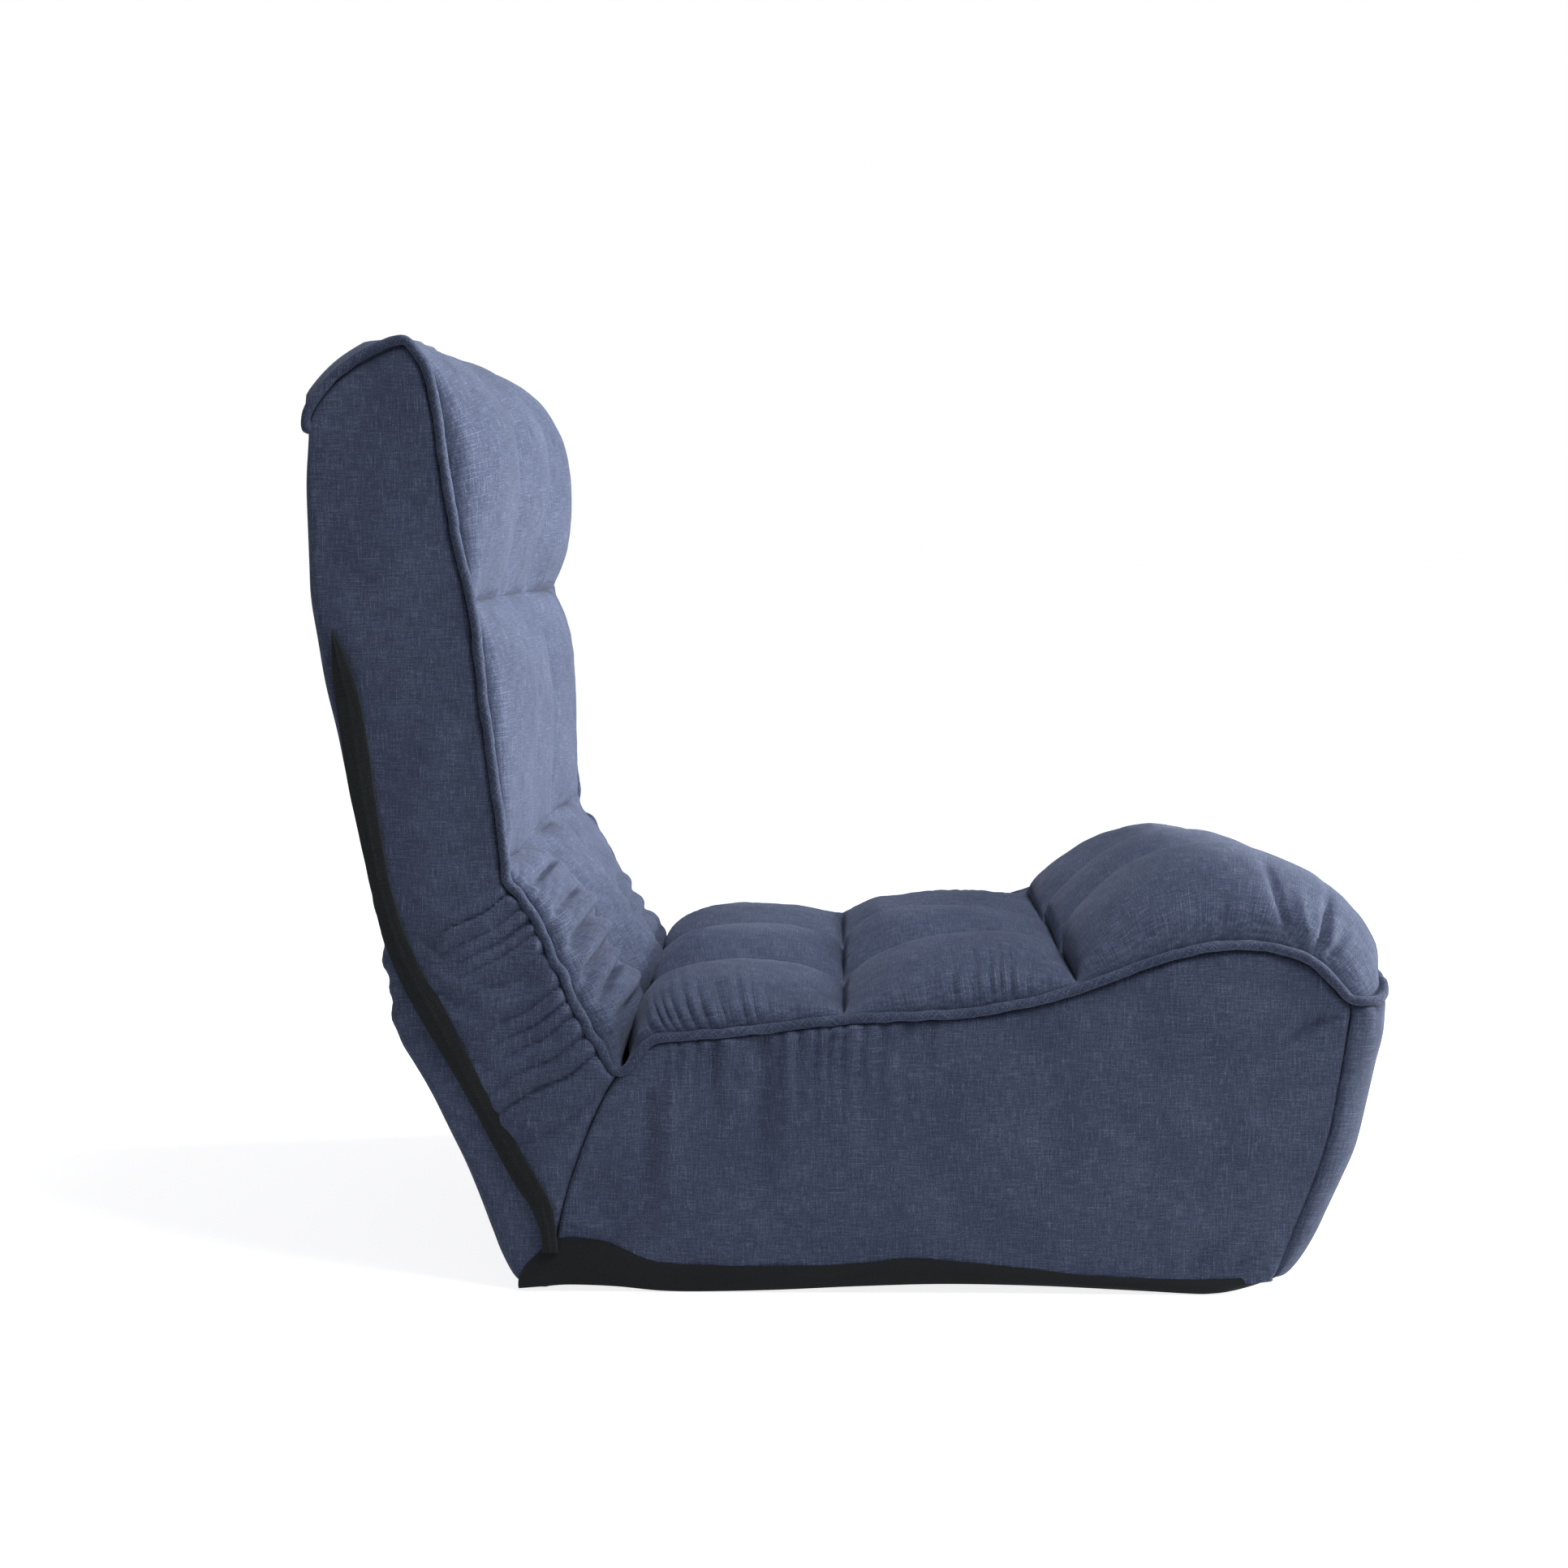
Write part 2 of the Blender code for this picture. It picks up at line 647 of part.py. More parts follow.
def build_seat_foam(under):
    """Foam block, narrow between the hinges and full width ahead of them."""
    low = SEAT_RAIL_Z + TUBE_RADIUS + SLING_THICKNESS + 2 * CLEARANCE
    step_x = RECLINE_SOCKET_X + SOCKET_LENGTH + 4 * CLEARANCE
    last = under[-1].x
    inner_front = min(front_x(under[-1].y) - SIDE_THICKNESS - CLEARANCE, last)
    seam = cut_line(side_seam(2 * CLEARANCE), lambda p: p.y > low)
    top = cut_line(under, lambda p: seam[0].x < p.x < inner_front)
    end = [Vector((front_x(low) - SIDE_THICKNESS - CLEARANCE, low))]
    narrow = plate(anticlockwise(top + end + seam[::-1]), -INNER_FOAM_Y, INNER_FOAM_Y)
    wide_top = cut_line(top, lambda p: p.x > step_x)
    wide = anticlockwise(wide_top + end + [Vector((step_x, low))])
    finish("seat_foam", joined(narrow, plate(wide, -WIDE_FOAM_Y, WIDE_FOAM_Y), "UNION"), "foam")


def build_seat_covers(line):
    lower = shift(line, -PIPING_RADIUS)
    crown = seat_curve(SEAT_CROWN, 1)
    roll = seat_curve(ROLL_CROWN, 1)
    split = (crown[-1].x + roll[0].x) / 2
    first = crown[0].x - SEAT_START
    seat_base = cut_line(lower, lambda p: first < p.x < split - CLEARANCE)
    roll_base = cut_line(lower, lambda p: p.x > split)
    arc_centre = FRONT_X - PIPING_RADIUS + PIPING_STANDOUT - CORNER_RADIUS
    widths = []
    for point in roll_base:
        ahead = min(max(point.x - arc_centre, 0.0), CORNER_RADIUS)
        widths.append(QUILT_Y - 3 * CLEARANCE - CORNER_RADIUS + math.sqrt(CORNER_RADIUS ** 2 - ahead ** 2))
    crown = seat_curve(SEAT_CROWN, len(seat_base) - 1)
    roll = seat_curve(ROLL_CROWN, len(roll_base) - 1)
    finish("seat_quilt", quilt(seat_base, crown, QUILT_Y), "cloth", smooth=True)
    finish("knee_roll", quilt(roll_base, roll, widths), "cloth", smooth=True)


# Back section

def behind_neck(point):
    return point.y < NECK.y - CLEARANCE


def back_region(point):
    return angle_round(HINGE, point) > crease_angle()


def on_level(pivot, ahead, height):
    """The point at a distance in front of the tubes and at a height."""
    rise = (height - pivot.y - ahead * AHEAD.y) / ALONG.y
    return pivot + rise * ALONG + ahead * AHEAD


def build_back():
    front = cut_line(front_line(), behind_neck)
    under = shift(front, UNDER_PIPING)
    stiff_front = cut_line(under, back_region)
    rear = rear_line()
    inner_rear = shift(rear, -REAR_THICKNESS - CLEARANCE)
    side_rear = cut_line(inner_rear, lambda p: behind_neck(p) and angle_round(HINGE, p) < REAR_TURN)
    disc = arc(HINGE, SIDE_DISC_RADIUS, crease_angle(), REAR_TURN - 2 * math.pi, 12)
    outline = stiff_front + side_rear[::-1] + disc[::-1]
    for side, name in ((1, "left"), (-1, "right")):
        finish("back_side_" + name, soft_plate(outline, side * SIDE_INNER_Y, side * BODY_Y), "cloth", HINGE)
        route = [flat(p, side * PIPING_Y) for p in front[1:]]
        finish("back_piping_" + name, rod(route, PIPING_RADIUS, 6), "cloth", HINGE, smooth=True)
    split = NECK_DISTANCE * SKIRT_SHARE
    upper = cut_line(rear, lambda p: behind_neck(p) and (p - HINGE).dot(ALONG) > split + CLEARANCE)
    skirt = cut_line(rear, lambda p: (p - HINGE).dot(ALONG) < split)
    finish("back_rear_panel", strip(upper, -REAR_THICKNESS, BODY_Y), "cloth", HINGE)
    finish("rear_skirt", strip(skirt, -REAR_THICKNESS, BODY_Y), "cloth", HINGE)
    build_back_foam(under, inner_rear)
    build_back_frame()
    build_back_covers(front)
    build_crease_gussets(under, inner_rear)
    build_zip(inner_rear)


def build_back_foam(under, inner_rear):
    start = TUBE_RADIUS + SLING_THICKNESS + 2 * CLEARANCE
    face = cut_line(under, back_region)
    foot = HINGE + (SOCKET_LENGTH + FOAM_ABOVE_SOCKET) * ALONG
    toe = (SOCKET_LENGTH + FOAM_ABOVE_SOCKET) * math.tan(FRAME_ANGLE - crease_angle())
    top = on_level(HINGE, start, NECK.y - CLEARANCE)
    outline = [foot + start * AHEAD, foot + toe * AHEAD] + face + [top]
    finish("back_foam", plate(outline, -INNER_FOAM_Y, INNER_FOAM_Y), "foam", HINGE)
    back_of_tubes = TUBE_RADIUS + CLEARANCE
    low = CROSS_TUBE_LOW - TUBE_RADIUS
    high = NECK_DISTANCE - CROSS_TUBE_HIGH + TUBE_RADIUS
    near = [HINGE + low * ALONG - back_of_tubes * AHEAD, HINGE + high * ALONG - back_of_tubes * AHEAD]
    far = cut_line(inner_rear, lambda p: low < (p - HINGE).dot(ALONG) < high)
    finish("back_rear_pad", plate(near + shift(far, -CLEARANCE)[::-1], -INNER_FOAM_Y, INNER_FOAM_Y), "foam", HINGE)


def build_back_frame():
    """Two tubes with two welded cross tubes."""
    start = SOCKET_START + SOCKET_FLOOR + CLEARANCE
    low = HINGE + start * ALONG
    high = NECK - start * ALONG
    solid = None
    for side in (1, -1):
        rail = rod([flat(low, side * RAIL_Y), flat(high, side * RAIL_Y)], TUBE_RADIUS, TUBE_SIDES)
        solid = rail if solid is None else joined(solid, rail, "UNION")
    for place in (CROSS_TUBE_LOW, NECK_DISTANCE - CROSS_TUBE_HIGH):
        centre = HINGE + place * ALONG
        cross = rod([flat(centre, RAIL_Y), flat(centre, -RAIL_Y)], CROSS_TUBE_RADIUS, TUBE_SIDES)
        solid = joined(solid, cross, "UNION")
    for side in (1, -1):
        past = CUT_PAST * ALONG
        bore = rod([flat(low - past, side * RAIL_Y), flat(high + past, side * RAIL_Y)], TUBE_BORE, TUBE_SIDES)
        solid = joined(solid, bore, "DIFFERENCE")
    finish("back_frame", solid, "steel", HINGE)
    near = TUBE_RADIUS + CLEARANCE
    ends = (CROSS_TUBE_LOW, NECK_DISTANCE - CROSS_TUBE_HIGH)
    outline = [HINGE + ends[0] * ALONG + near * AHEAD, HINGE + ends[1] * ALONG + near * AHEAD,
               HINGE + ends[1] * ALONG + (near + SLING_THICKNESS) * AHEAD,
               HINGE + ends[0] * ALONG + (near + SLING_THICKNESS) * AHEAD]
    finish("back_sling", plate(outline, -RAIL_Y, RAIL_Y), "sling", HINGE)


def build_back_covers(front):
    lower = shift(front, PIPING_RADIUS)
    split = NECK_DISTANCE * MID_CROWN[0][0]
    mid_base = cut_line(lower, lambda p: (p - HINGE).dot(ALONG) > split)
    mid_crown = spline([on_back(*p) for p in MID_CROWN], len(mid_base) - 1)
    finish("mid_quilt", quilt(mid_base, mid_crown, QUILT_Y), "cloth", HINGE, smooth=True)
    deep = crease_angle() - FOLD_MARGIN / 2
    inner = polar(HINGE, LUMBAR_ROOT, deep)
    face = cut_line(lower, lambda p: angle_round(HINGE, p) > deep and (p - HINGE).dot(ALONG) < split - CLEARANCE)
    lumbar_base = resample([inner, face[0]], 4) + face[1:]
    lumbar_crown = spline([on_back(*p) for p in LUMBAR_CROWN], len(lumbar_base) - 1)
    widths = [SIDE_INNER_Y - CLEARANCE if place < LUMBAR_NARROW_STEPS else QUILT_Y for place in range(len(lumbar_base))]
    finish("lumbar_quilt", quilt(lumbar_base, lumbar_crown, widths, 3), "cloth", HINGE, smooth=True)


def build_crease_gussets(under, inner_rear):
    """The lower side cloth, which folds at the hinge."""
    stiff = crease_angle() - SOFT_GAP
    soft_front = cut_line(under, lambda p: angle_round(HINGE, p) < stiff)
    disc = arc(HINGE, SIDE_DISC_RADIUS + CLEARANCE, stiff, REAR_TURN + SOFT_GAP - 2 * math.pi, 12)
    low = BASE_THICKNESS + 2 * CLEARANCE
    tail = cut_line(inner_rear, lambda p: p.y > low and angle_round(HINGE, p) > REAR_TURN + SOFT_GAP)
    seam = side_seam(-CLEARANCE)
    outline = anticlockwise(seam[:-1] + [Vector((seam[-1].x, low))] + tail + disc[::-1] + soft_front[::-1])
    for side, name in ((1, "left"), (-1, "right")):
        finish("crease_gusset_" + name, plate(outline, side * SIDE_INNER_Y, side * BODY_Y), "cloth", HINGE)


def build_zip(inner_rear):
    """The black zip strip along the rear edge of the side, down to the floor corner."""
    line = cut_line(inner_rear, lambda p: ZIP_FOOT_HEIGHT < p.y < NECK.y - CLEARANCE)
    outer = shift(line, REAR_THICKNESS)
    inner = shift(line, REAR_THICKNESS - ZIP_WIDTH)
    for side, name in ((1, "left"), (-1, "right")):
        low = side * (BODY_Y + CLEARANCE)
        finish("zip_tape_" + name, plate(outer + inner[::-1], low, low + side * ZIP_THICKNESS), "black", HINGE)


# Head section

def head_fold_line():
    """The head's stiff pieces stay above this direction, so that the head can fold forward."""
    return HEAD_FOLD + FOLD_MARGIN


def head_region(point):
    return angle_round(NECK, point) > head_fold_line()


def build_head():
    front = head_front_line()
    under = shift(front, UNDER_PIPING)
    roof_end = HEAD_FRONT_LINE[-1][1] - PIPING_RADIUS - 2 * CLEARANCE
    rear = cut_line(head_rear_line(), lambda p: p.y > NECK.y + CLEARANCE and (p - NECK).dot(AHEAD) < roof_end)
    inner = shift(rear, -REAR_THICKNESS - CLEARANCE)
    face = cut_line(under, lambda p: head_region(p) and (p - NECK).dot(ALONG) < HEAD_LENGTH - UNDER_PIPING)
    inner = cut_line(inner, lambda p: (p - NECK).dot(AHEAD) < (face[-1] - NECK).dot(AHEAD) - CLEARANCE
                     and p.y > NECK.y + 2 * CLEARANCE)
    corner = polar(NECK, 3 * CLEARANCE, FRAME_ANGLE)
    outline = [corner] + face + inner[::-1]
    for side, name in ((1, "left"), (-1, "right")):
        finish("head_side_" + name, soft_plate(outline, side * SIDE_INNER_Y, side * BODY_Y), "cloth", NECK)
        edge = cut_line(front, lambda p: p.y > NECK.y + CLEARANCE + PIPING_RADIUS)
        over = cut_line(rear[::-1], lambda p: p.y > NECK.y + HEAD_LENGTH * PIPING_END_SHARE)
        route = [flat(p, side * PIPING_Y) for p in edge + over]
        finish("head_piping_" + name, rod(route, PIPING_RADIUS, 6), "cloth", NECK, smooth=True)
    finish("head_rear_panel", strip(rear, -REAR_THICKNESS, QUILT_Y), "cloth", NECK)
    build_head_foam(face, inner)
    build_head_frame()
    build_head_cover(front)


def build_head_foam(face, inner):
    """Foam that the hoop's cross tube lies in, through a groove open to the rear."""
    hoop = NECK + (HEAD_LENGTH - HOOP_INSET) * ALONG
    half = TUBE_RADIUS + CLEARANCE
    inside = HEAD_BEND_RADIUS - TUBE_RADIUS - CLEARANCE
    reach = HEAD_BEND_RADIUS - RAIL_Y + INNER_FOAM_Y
    drop = HEAD_BEND_RADIUS - math.sqrt(inside ** 2 - reach ** 2) + GROOVE_PLAY
    back = shift(inner, -CLEARANCE)[::-1]
    high = cut_line(back, lambda p: (p - hoop).dot(ALONG) > half)
    low = cut_line(back, lambda p: (p - hoop).dot(ALONG) < -drop)
    groove = [hoop + half * ALONG + half * AHEAD, hoop - drop * ALONG + half * AHEAD]
    corner = polar(NECK, 4 * CLEARANCE, FRAME_ANGLE)
    finish("head_foam", plate([corner] + face + high + groove + low, -INNER_FOAM_Y, INNER_FOAM_Y), "foam", NECK)


def build_head_frame():
    start = SOCKET_START + SOCKET_FLOOR + CLEARANCE
    place = lambda p: flat(NECK + p.x * ALONG, p.y)
    route = bent_frame(start, HEAD_LENGTH - HOOP_INSET, HEAD_BEND_RADIUS, place)
    finish("head_frame", rod(route, TUBE_RADIUS, TUBE_SIDES, TUBE_BORE), "steel", NECK, smooth=True)


def build_head_cover(front):
    """Pillow row; its root fills the fold at the neck."""
    lower = shift(front, PIPING_RADIUS)
    fold = head_fold_line() - SOFT_GAP
    face = cut_line(lower, lambda p: angle_round(NECK, p) > fold)
    start = polar(NECK, CHEEK_RADIUS + ROOT_GAP, fold)
    base = resample([start, face[0]], 3) + face[1:]
    floor = NECK.y + 2 * CLEARANCE
    crown = spline([on_head(*p) for p in HEAD_CROWN], len(base) - 4)
    crown = cut_line(crown, lambda p: p.y > floor + SEAM_STEP)
    entry = [Vector((NECK.x + CHEEK_RADIUS + ROOT_GAP, floor)), Vector((front_line()[-1].x, floor))]
    crown = entry + resample(crown, len(base) - 3)
    finish("head_quilt", quilt(base, crown, QUILT_Y, 3), "cloth", NECK, smooth=True)


# Ratchet hinges

def cup(start, direction, length):
    """A round socket with a closed floor, open at its far end."""
    side = Vector((0.0, 1.0, 0.0))
    body = rod([start, start + length * direction], SOCKET_RADIUS, 12)
    mouth = rod([start + SOCKET_FLOOR * direction, start + (length + CUT_PAST) * direction],
                TUBE_RADIUS + 2 * CLEARANCE, 12)
    return body, mouth


def build_bracket(name, pivot, socket_start, socket_way, y, look_pivot):
    """Two cheeks round the toothed arm, a tube socket and the pin that the pawl turns on."""
    toward = (socket_start - pivot).normalized()
    heading = math.atan2(toward.y, toward.x)
    pin = polar(pivot, PAWL_PIN_DISTANCE, heading + PAWL_FROM_SOCKET)
    ring = arc(pivot, CHEEK_RADIUS, 0.0, 2 * math.pi, 22)[:-1]
    boss = arc(pin, PAWL_EYE + PIN_BOSS_WALL, 0.0, 2 * math.pi, 10)[:-1]
    web = arc(socket_start + WEB_ON_SOCKET * socket_way, TUBE_RADIUS + CLEARANCE, 0.0, 2 * math.pi, 10)[:-1]
    outline = hull(ring + boss + web)
    half = SLOT / 2 + CHEEK_THICKNESS
    solid = plate(outline, y - half, y + half)
    reach = CHEEK_RADIUS + SLOT_PAST_CHEEK
    wide = 2 * (PAWL_PIN_DISTANCE + PAWL_EYE)
    across = Vector((-toward.y, toward.x))
    slot = [pivot + reach * toward + wide * across, pivot - wide * toward + wide * across,
            pivot - wide * toward - wide * across, pivot + reach * toward - wide * across]
    solid = joined(solid, plate(slot, y - SLOT / 2, y + SLOT / 2), "DIFFERENCE")
    body, mouth = cup(flat(socket_start, y), flat(socket_way, 0.0), SOCKET_LENGTH)
    solid = joined(solid, body, "UNION")
    solid = joined(solid, mouth, "DIFFERENCE")
    bore = rod([flat(pivot, y - CUT_PAST), flat(pivot, y + CUT_PAST)], RIVET_RADIUS + CLEARANCE, 12)
    solid = joined(solid, bore, "DIFFERENCE")
    peg = rod([flat(pin, y - half), flat(pin, y + half)], PAWL_PIN_RADIUS, 8)
    solid = joined(solid, peg, "UNION")
    finish(name, solid, "zinc", look_pivot)
    return heading


def toothed_outline(pivot, mesh_angle, travel, leg_angle):
    """Disc with teeth over the travel and a leg out to the socket."""
    low, high = travel
    tooth_tip = TOOTH_ROOT + TOOTH_HEIGHT
    points = []
    first = mesh_angle + low - 0.5 * TOOTH_PITCH
    count = round((high - low) / TOOTH_PITCH) + 1
    foot = TOOTH_FOOT_SHARE * TOOTH_PITCH
    tip = TOOTH_TIP_SHARE * TOOTH_PITCH
    for number in range(count + 1):
        centre = first + number * TOOTH_PITCH
        for radius, offset in ((TOOTH_ROOT, -foot), (tooth_tip, -tip), (tooth_tip, tip), (TOOTH_ROOT, foot)):
            points.append(polar(pivot, radius, centre + offset))
    out = Vector((math.cos(leg_angle), math.sin(leg_angle)))
    across = Vector((-out.y, out.x))
    reach = SOCKET_START + ARM_INTO_SOCKET
    half = ARM_WIDTH / 2
    root = math.asin(half / TOOTH_ROOT)
    last = first + count * TOOTH_PITCH
    leg_start = leg_angle - root
    points += arc(pivot, TOOTH_ROOT, last + foot, leg_start, 4)[1:]
    points += [pivot + reach * out - half * across, pivot + reach * out + half * across]
    points += arc(pivot, TOOTH_ROOT, leg_angle + root, first + 2 * math.pi - foot, 12)[:-1]
    return points


def build_arm(name, pivot, heading, travel, y, look_pivot):
    """Toothed plate with a socket for the moving section's tube."""
    mesh_angle = heading + PAWL_FROM_SOCKET + PAWL_LEAD
    solid = plate(toothed_outline(pivot, mesh_angle, travel, FRAME_ANGLE), y - ARM_THICKNESS / 2, y + ARM_THICKNESS / 2)
    start = pivot + SOCKET_START * ALONG
    body, mouth = cup(flat(start, y), flat(ALONG, 0.0), SOCKET_LENGTH)
    solid = joined(solid, body, "UNION")
    solid = joined(solid, mouth, "DIFFERENCE")
    bore = rod([flat(pivot, y - CUT_PAST), flat(pivot, y + CUT_PAST)], RIVET_RADIUS + CLEARANCE, 12)
    finish(name, joined(solid, bore, "DIFFERENCE"), "zinc", look_pivot)


def build_rivet(name, pivot, y):
    half = SLOT / 2 + CHEEK_THICKNESS + CLEARANCE
    top = half + RIVET_HEAD_HEIGHT
    profile = ((-top, RIVET_HEAD_RADIUS * 0.7), (-half - RIVET_HEAD_HEIGHT * 0.4, RIVET_HEAD_RADIUS),
               (-half, RIVET_HEAD_RADIUS), (-half, RIVET_RADIUS), (half, RIVET_RADIUS), (half, RIVET_HEAD_RADIUS),
               (half + RIVET_HEAD_HEIGHT * 0.4, RIVET_HEAD_RADIUS), (top, RIVET_HEAD_RADIUS * 0.7))
    rings = [[flat(p, y + height) for p in arc(pivot, radius, 0.0, 2 * math.pi, 12)[:-1]] for height, radius in profile]
    finish(name, loft(rings), "zinc", pivot)


def build_pawl(name, pivot, heading, y, look_pivot):
    """Latch whose nose sits between two teeth."""
    pin = polar(pivot, PAWL_PIN_DISTANCE, heading + PAWL_FROM_SOCKET)
    mesh_angle = heading + PAWL_FROM_SOCKET + PAWL_LEAD
    out = Vector((math.cos(mesh_angle), math.sin(mesh_angle)))
    back = Vector((out.y, -out.x))
    tooth_tip = TOOTH_ROOT + TOOTH_HEIGHT
    place = lambda radial, tangent: pivot + radial * out + tangent * back
    eye_way = math.atan2(*reversed((place(tooth_tip, 0.0) - pin).normalized()))
    shoulder = tooth_tip + NOSE_GAP
    nose = [place(TOOTH_ROOT + NOSE_GAP, -NOSE_TIP_HALF), place(tooth_tip + CLEARANCE, -NOSE_ROOT_HALF),
            place(shoulder, -NOSE_SHOULDER), place(tooth_tip + PAWL_DEPTH, -NOSE_SHOULDER)]
    eye = arc(pin, PAWL_EYE, eye_way - 1.5, eye_way - 2 * math.pi + 1.5, 8)
    root = [place(shoulder, PAWL_LENGTH), place(tooth_tip + CLEARANCE, NOSE_ROOT_HALF),
            place(TOOTH_ROOT + NOSE_GAP, NOSE_TIP_HALF)]
    outline = nose + eye + root
    if sum(a.x * b.y - b.x * a.y for a, b in zip(outline, outline[1:] + outline[:1])) > 0:
        outline = outline[::-1]
    solid = plate(outline, y - ARM_THICKNESS / 2, y + ARM_THICKNESS / 2)
    bore = rod([flat(pin, y - CUT_PAST), flat(pin, y + CUT_PAST)], PAWL_PIN_RADIUS + CLEARANCE, 8)
    finish(name, joined(solid, bore, "DIFFERENCE"), "zinc", look_pivot)
    return pin, place, tooth_tip


def build_spring(name, pin, place, tooth_tip, y, look_pivot):
    """Leaf spring between the cheeks that presses the pawl's back."""
    back = tooth_tip + PAWL_DEPTH + CLEARANCE
    line = spline([place(back + radial, tangent) for radial, tangent in SPRING_LINE], 8)
    outline = line + shift(line, SPRING_THICKNESS)[::-1]
    finish(name, plate(outline, y - ARM_THICKNESS / 2, y + ARM_THICKNESS / 2), "zinc", look_pivot)


def build_hinges():
    seat_socket = Vector((RECLINE_SOCKET_X, SEAT_RAIL_Z))
    neck_socket = NECK - SOCKET_START * ALONG
    plans = (("recline", HINGE, seat_socket, Vector((1.0, 0.0)), (-RECLINE, FOLD_FORWARD), None),
             ("head", NECK, neck_socket, -ALONG, (0.0, HEAD_FOLD), HINGE))
    for word, pivot, socket, way, travel, carrier in plans:
        for side, name in ((1, "left"), (-1, "right")):
            y = side * RAIL_Y
            label = word + "_" + "{}" + "_" + name
            heading = build_bracket(label.format("bracket"), pivot, socket, way, y, carrier)
            build_arm(label.format("arm"), pivot, heading, travel, y, pivot)
            build_rivet(label.format("rivet"), pivot, y)
            pin, place, tip = build_pawl(label.format("pawl"), pivot, heading, y, carrier)
            build_spring(label.format("spring"), pin, place, tip, y, carrier)


clear_scene()
build_seat()
build_back()
build_head()
build_hinges()
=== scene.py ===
# %% [markdown]
# # A legless reclining floor chair in navy linen-look cloth
# The chair is a padded seat, a padded back and a small headrest on steel tubes with ratchet hinges.
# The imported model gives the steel, the joints and the size; this lesson makes the cloth around it.
# Everything is in metres, +X towards the sitter's knees, +Y to the sitter's left, +Z up.

# %% Load the frame
import math

import bmesh
import bpy
import numpy as np
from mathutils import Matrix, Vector


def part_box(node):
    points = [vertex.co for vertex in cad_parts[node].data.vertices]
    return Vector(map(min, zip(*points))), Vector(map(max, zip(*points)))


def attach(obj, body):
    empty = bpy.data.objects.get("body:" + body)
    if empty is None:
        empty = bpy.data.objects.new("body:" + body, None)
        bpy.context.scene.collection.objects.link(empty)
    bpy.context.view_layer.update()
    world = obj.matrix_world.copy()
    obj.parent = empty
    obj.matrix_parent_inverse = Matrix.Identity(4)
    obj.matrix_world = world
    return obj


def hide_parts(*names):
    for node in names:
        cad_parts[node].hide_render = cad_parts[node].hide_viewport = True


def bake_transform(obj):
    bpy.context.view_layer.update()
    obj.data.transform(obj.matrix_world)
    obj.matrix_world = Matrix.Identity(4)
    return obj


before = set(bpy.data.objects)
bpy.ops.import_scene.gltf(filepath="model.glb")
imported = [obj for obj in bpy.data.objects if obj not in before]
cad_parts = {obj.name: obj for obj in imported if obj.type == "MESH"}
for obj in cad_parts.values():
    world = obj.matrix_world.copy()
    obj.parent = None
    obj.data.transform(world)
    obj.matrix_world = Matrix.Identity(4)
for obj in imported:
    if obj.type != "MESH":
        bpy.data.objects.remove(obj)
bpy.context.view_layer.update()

# %% [markdown]
# ## Lines of the chair in the side view
# The cover is cut from panels, so its shape is settled by a few seam lines seen from the side.
# A smooth curve through a handful of points gives each seam, and every panel that meets at a seam
# uses the same curve, so that no gap opens between them.

# %% Seam lines
def mm(*numbers, each=2):
    """Rows of numbers given in millimetres, as metres: points x, z unless each says otherwise."""
    return np.array(numbers, float).reshape(-1, each) / 1000


def between(a, b, c, d, t):
    """The smooth curve from b to c, with a before and d after them."""
    return 0.5 * (2 * b + (c - a) * t + (2 * a - 5 * b + 4 * c - d) * t ** 2
                  + (3 * b - a - 3 * c + d) * t ** 3)


def smooth_line(points, count=200):
    """Even steps on a smooth curve through the points, as an array of x, z."""
    p = np.array(points, float)
    p = np.vstack([2 * p[0] - p[1], p, 2 * p[-1] - p[-2]])
    t = np.linspace(0, 1, 24, endpoint=False)[:, None]
    spans = [between(a, b, c, d, t) for a, b, c, d in zip(p, p[1:], p[2:], p[3:])]
    return evenly(np.vstack(spans + [p[-2]]), count)


def unit(vectors):
    return vectors / np.linalg.norm(vectors, axis=-1, keepdims=True)


def clip01(values):
    return np.clip(values, 0, 1)


def lengths(line):
    return np.concatenate([[0], np.cumsum(np.linalg.norm(np.diff(line, axis=0), axis=1))])


def evenly(line, count):
    return along(line, np.linspace(0, 1, count + 1))


def along(line, shares):
    """Points at shares of a line's length."""
    travelled = lengths(line)
    wanted = np.asarray(shares) * travelled[-1]
    return np.stack([np.interp(wanted, travelled, line[:, k]) for k in range(line.shape[1])], axis=-1)


def aside(line, distance):
    """The line moved to its left side."""
    way = unit(np.gradient(line, axis=0))
    return line + distance * np.stack([-way[:, 1], way[:, 0]], axis=1)


def share_near(line, point):
    """The share of a line's length that lies nearest to a point."""
    travelled = lengths(line)
    nearest = np.argmin(np.linalg.norm(line - np.array(point), axis=1))
    return travelled[nearest] / travelled[-1]


def part_of(line, start, end, count):
    return along(line, np.linspace(share_near(line, start), share_near(line, end), count + 1))


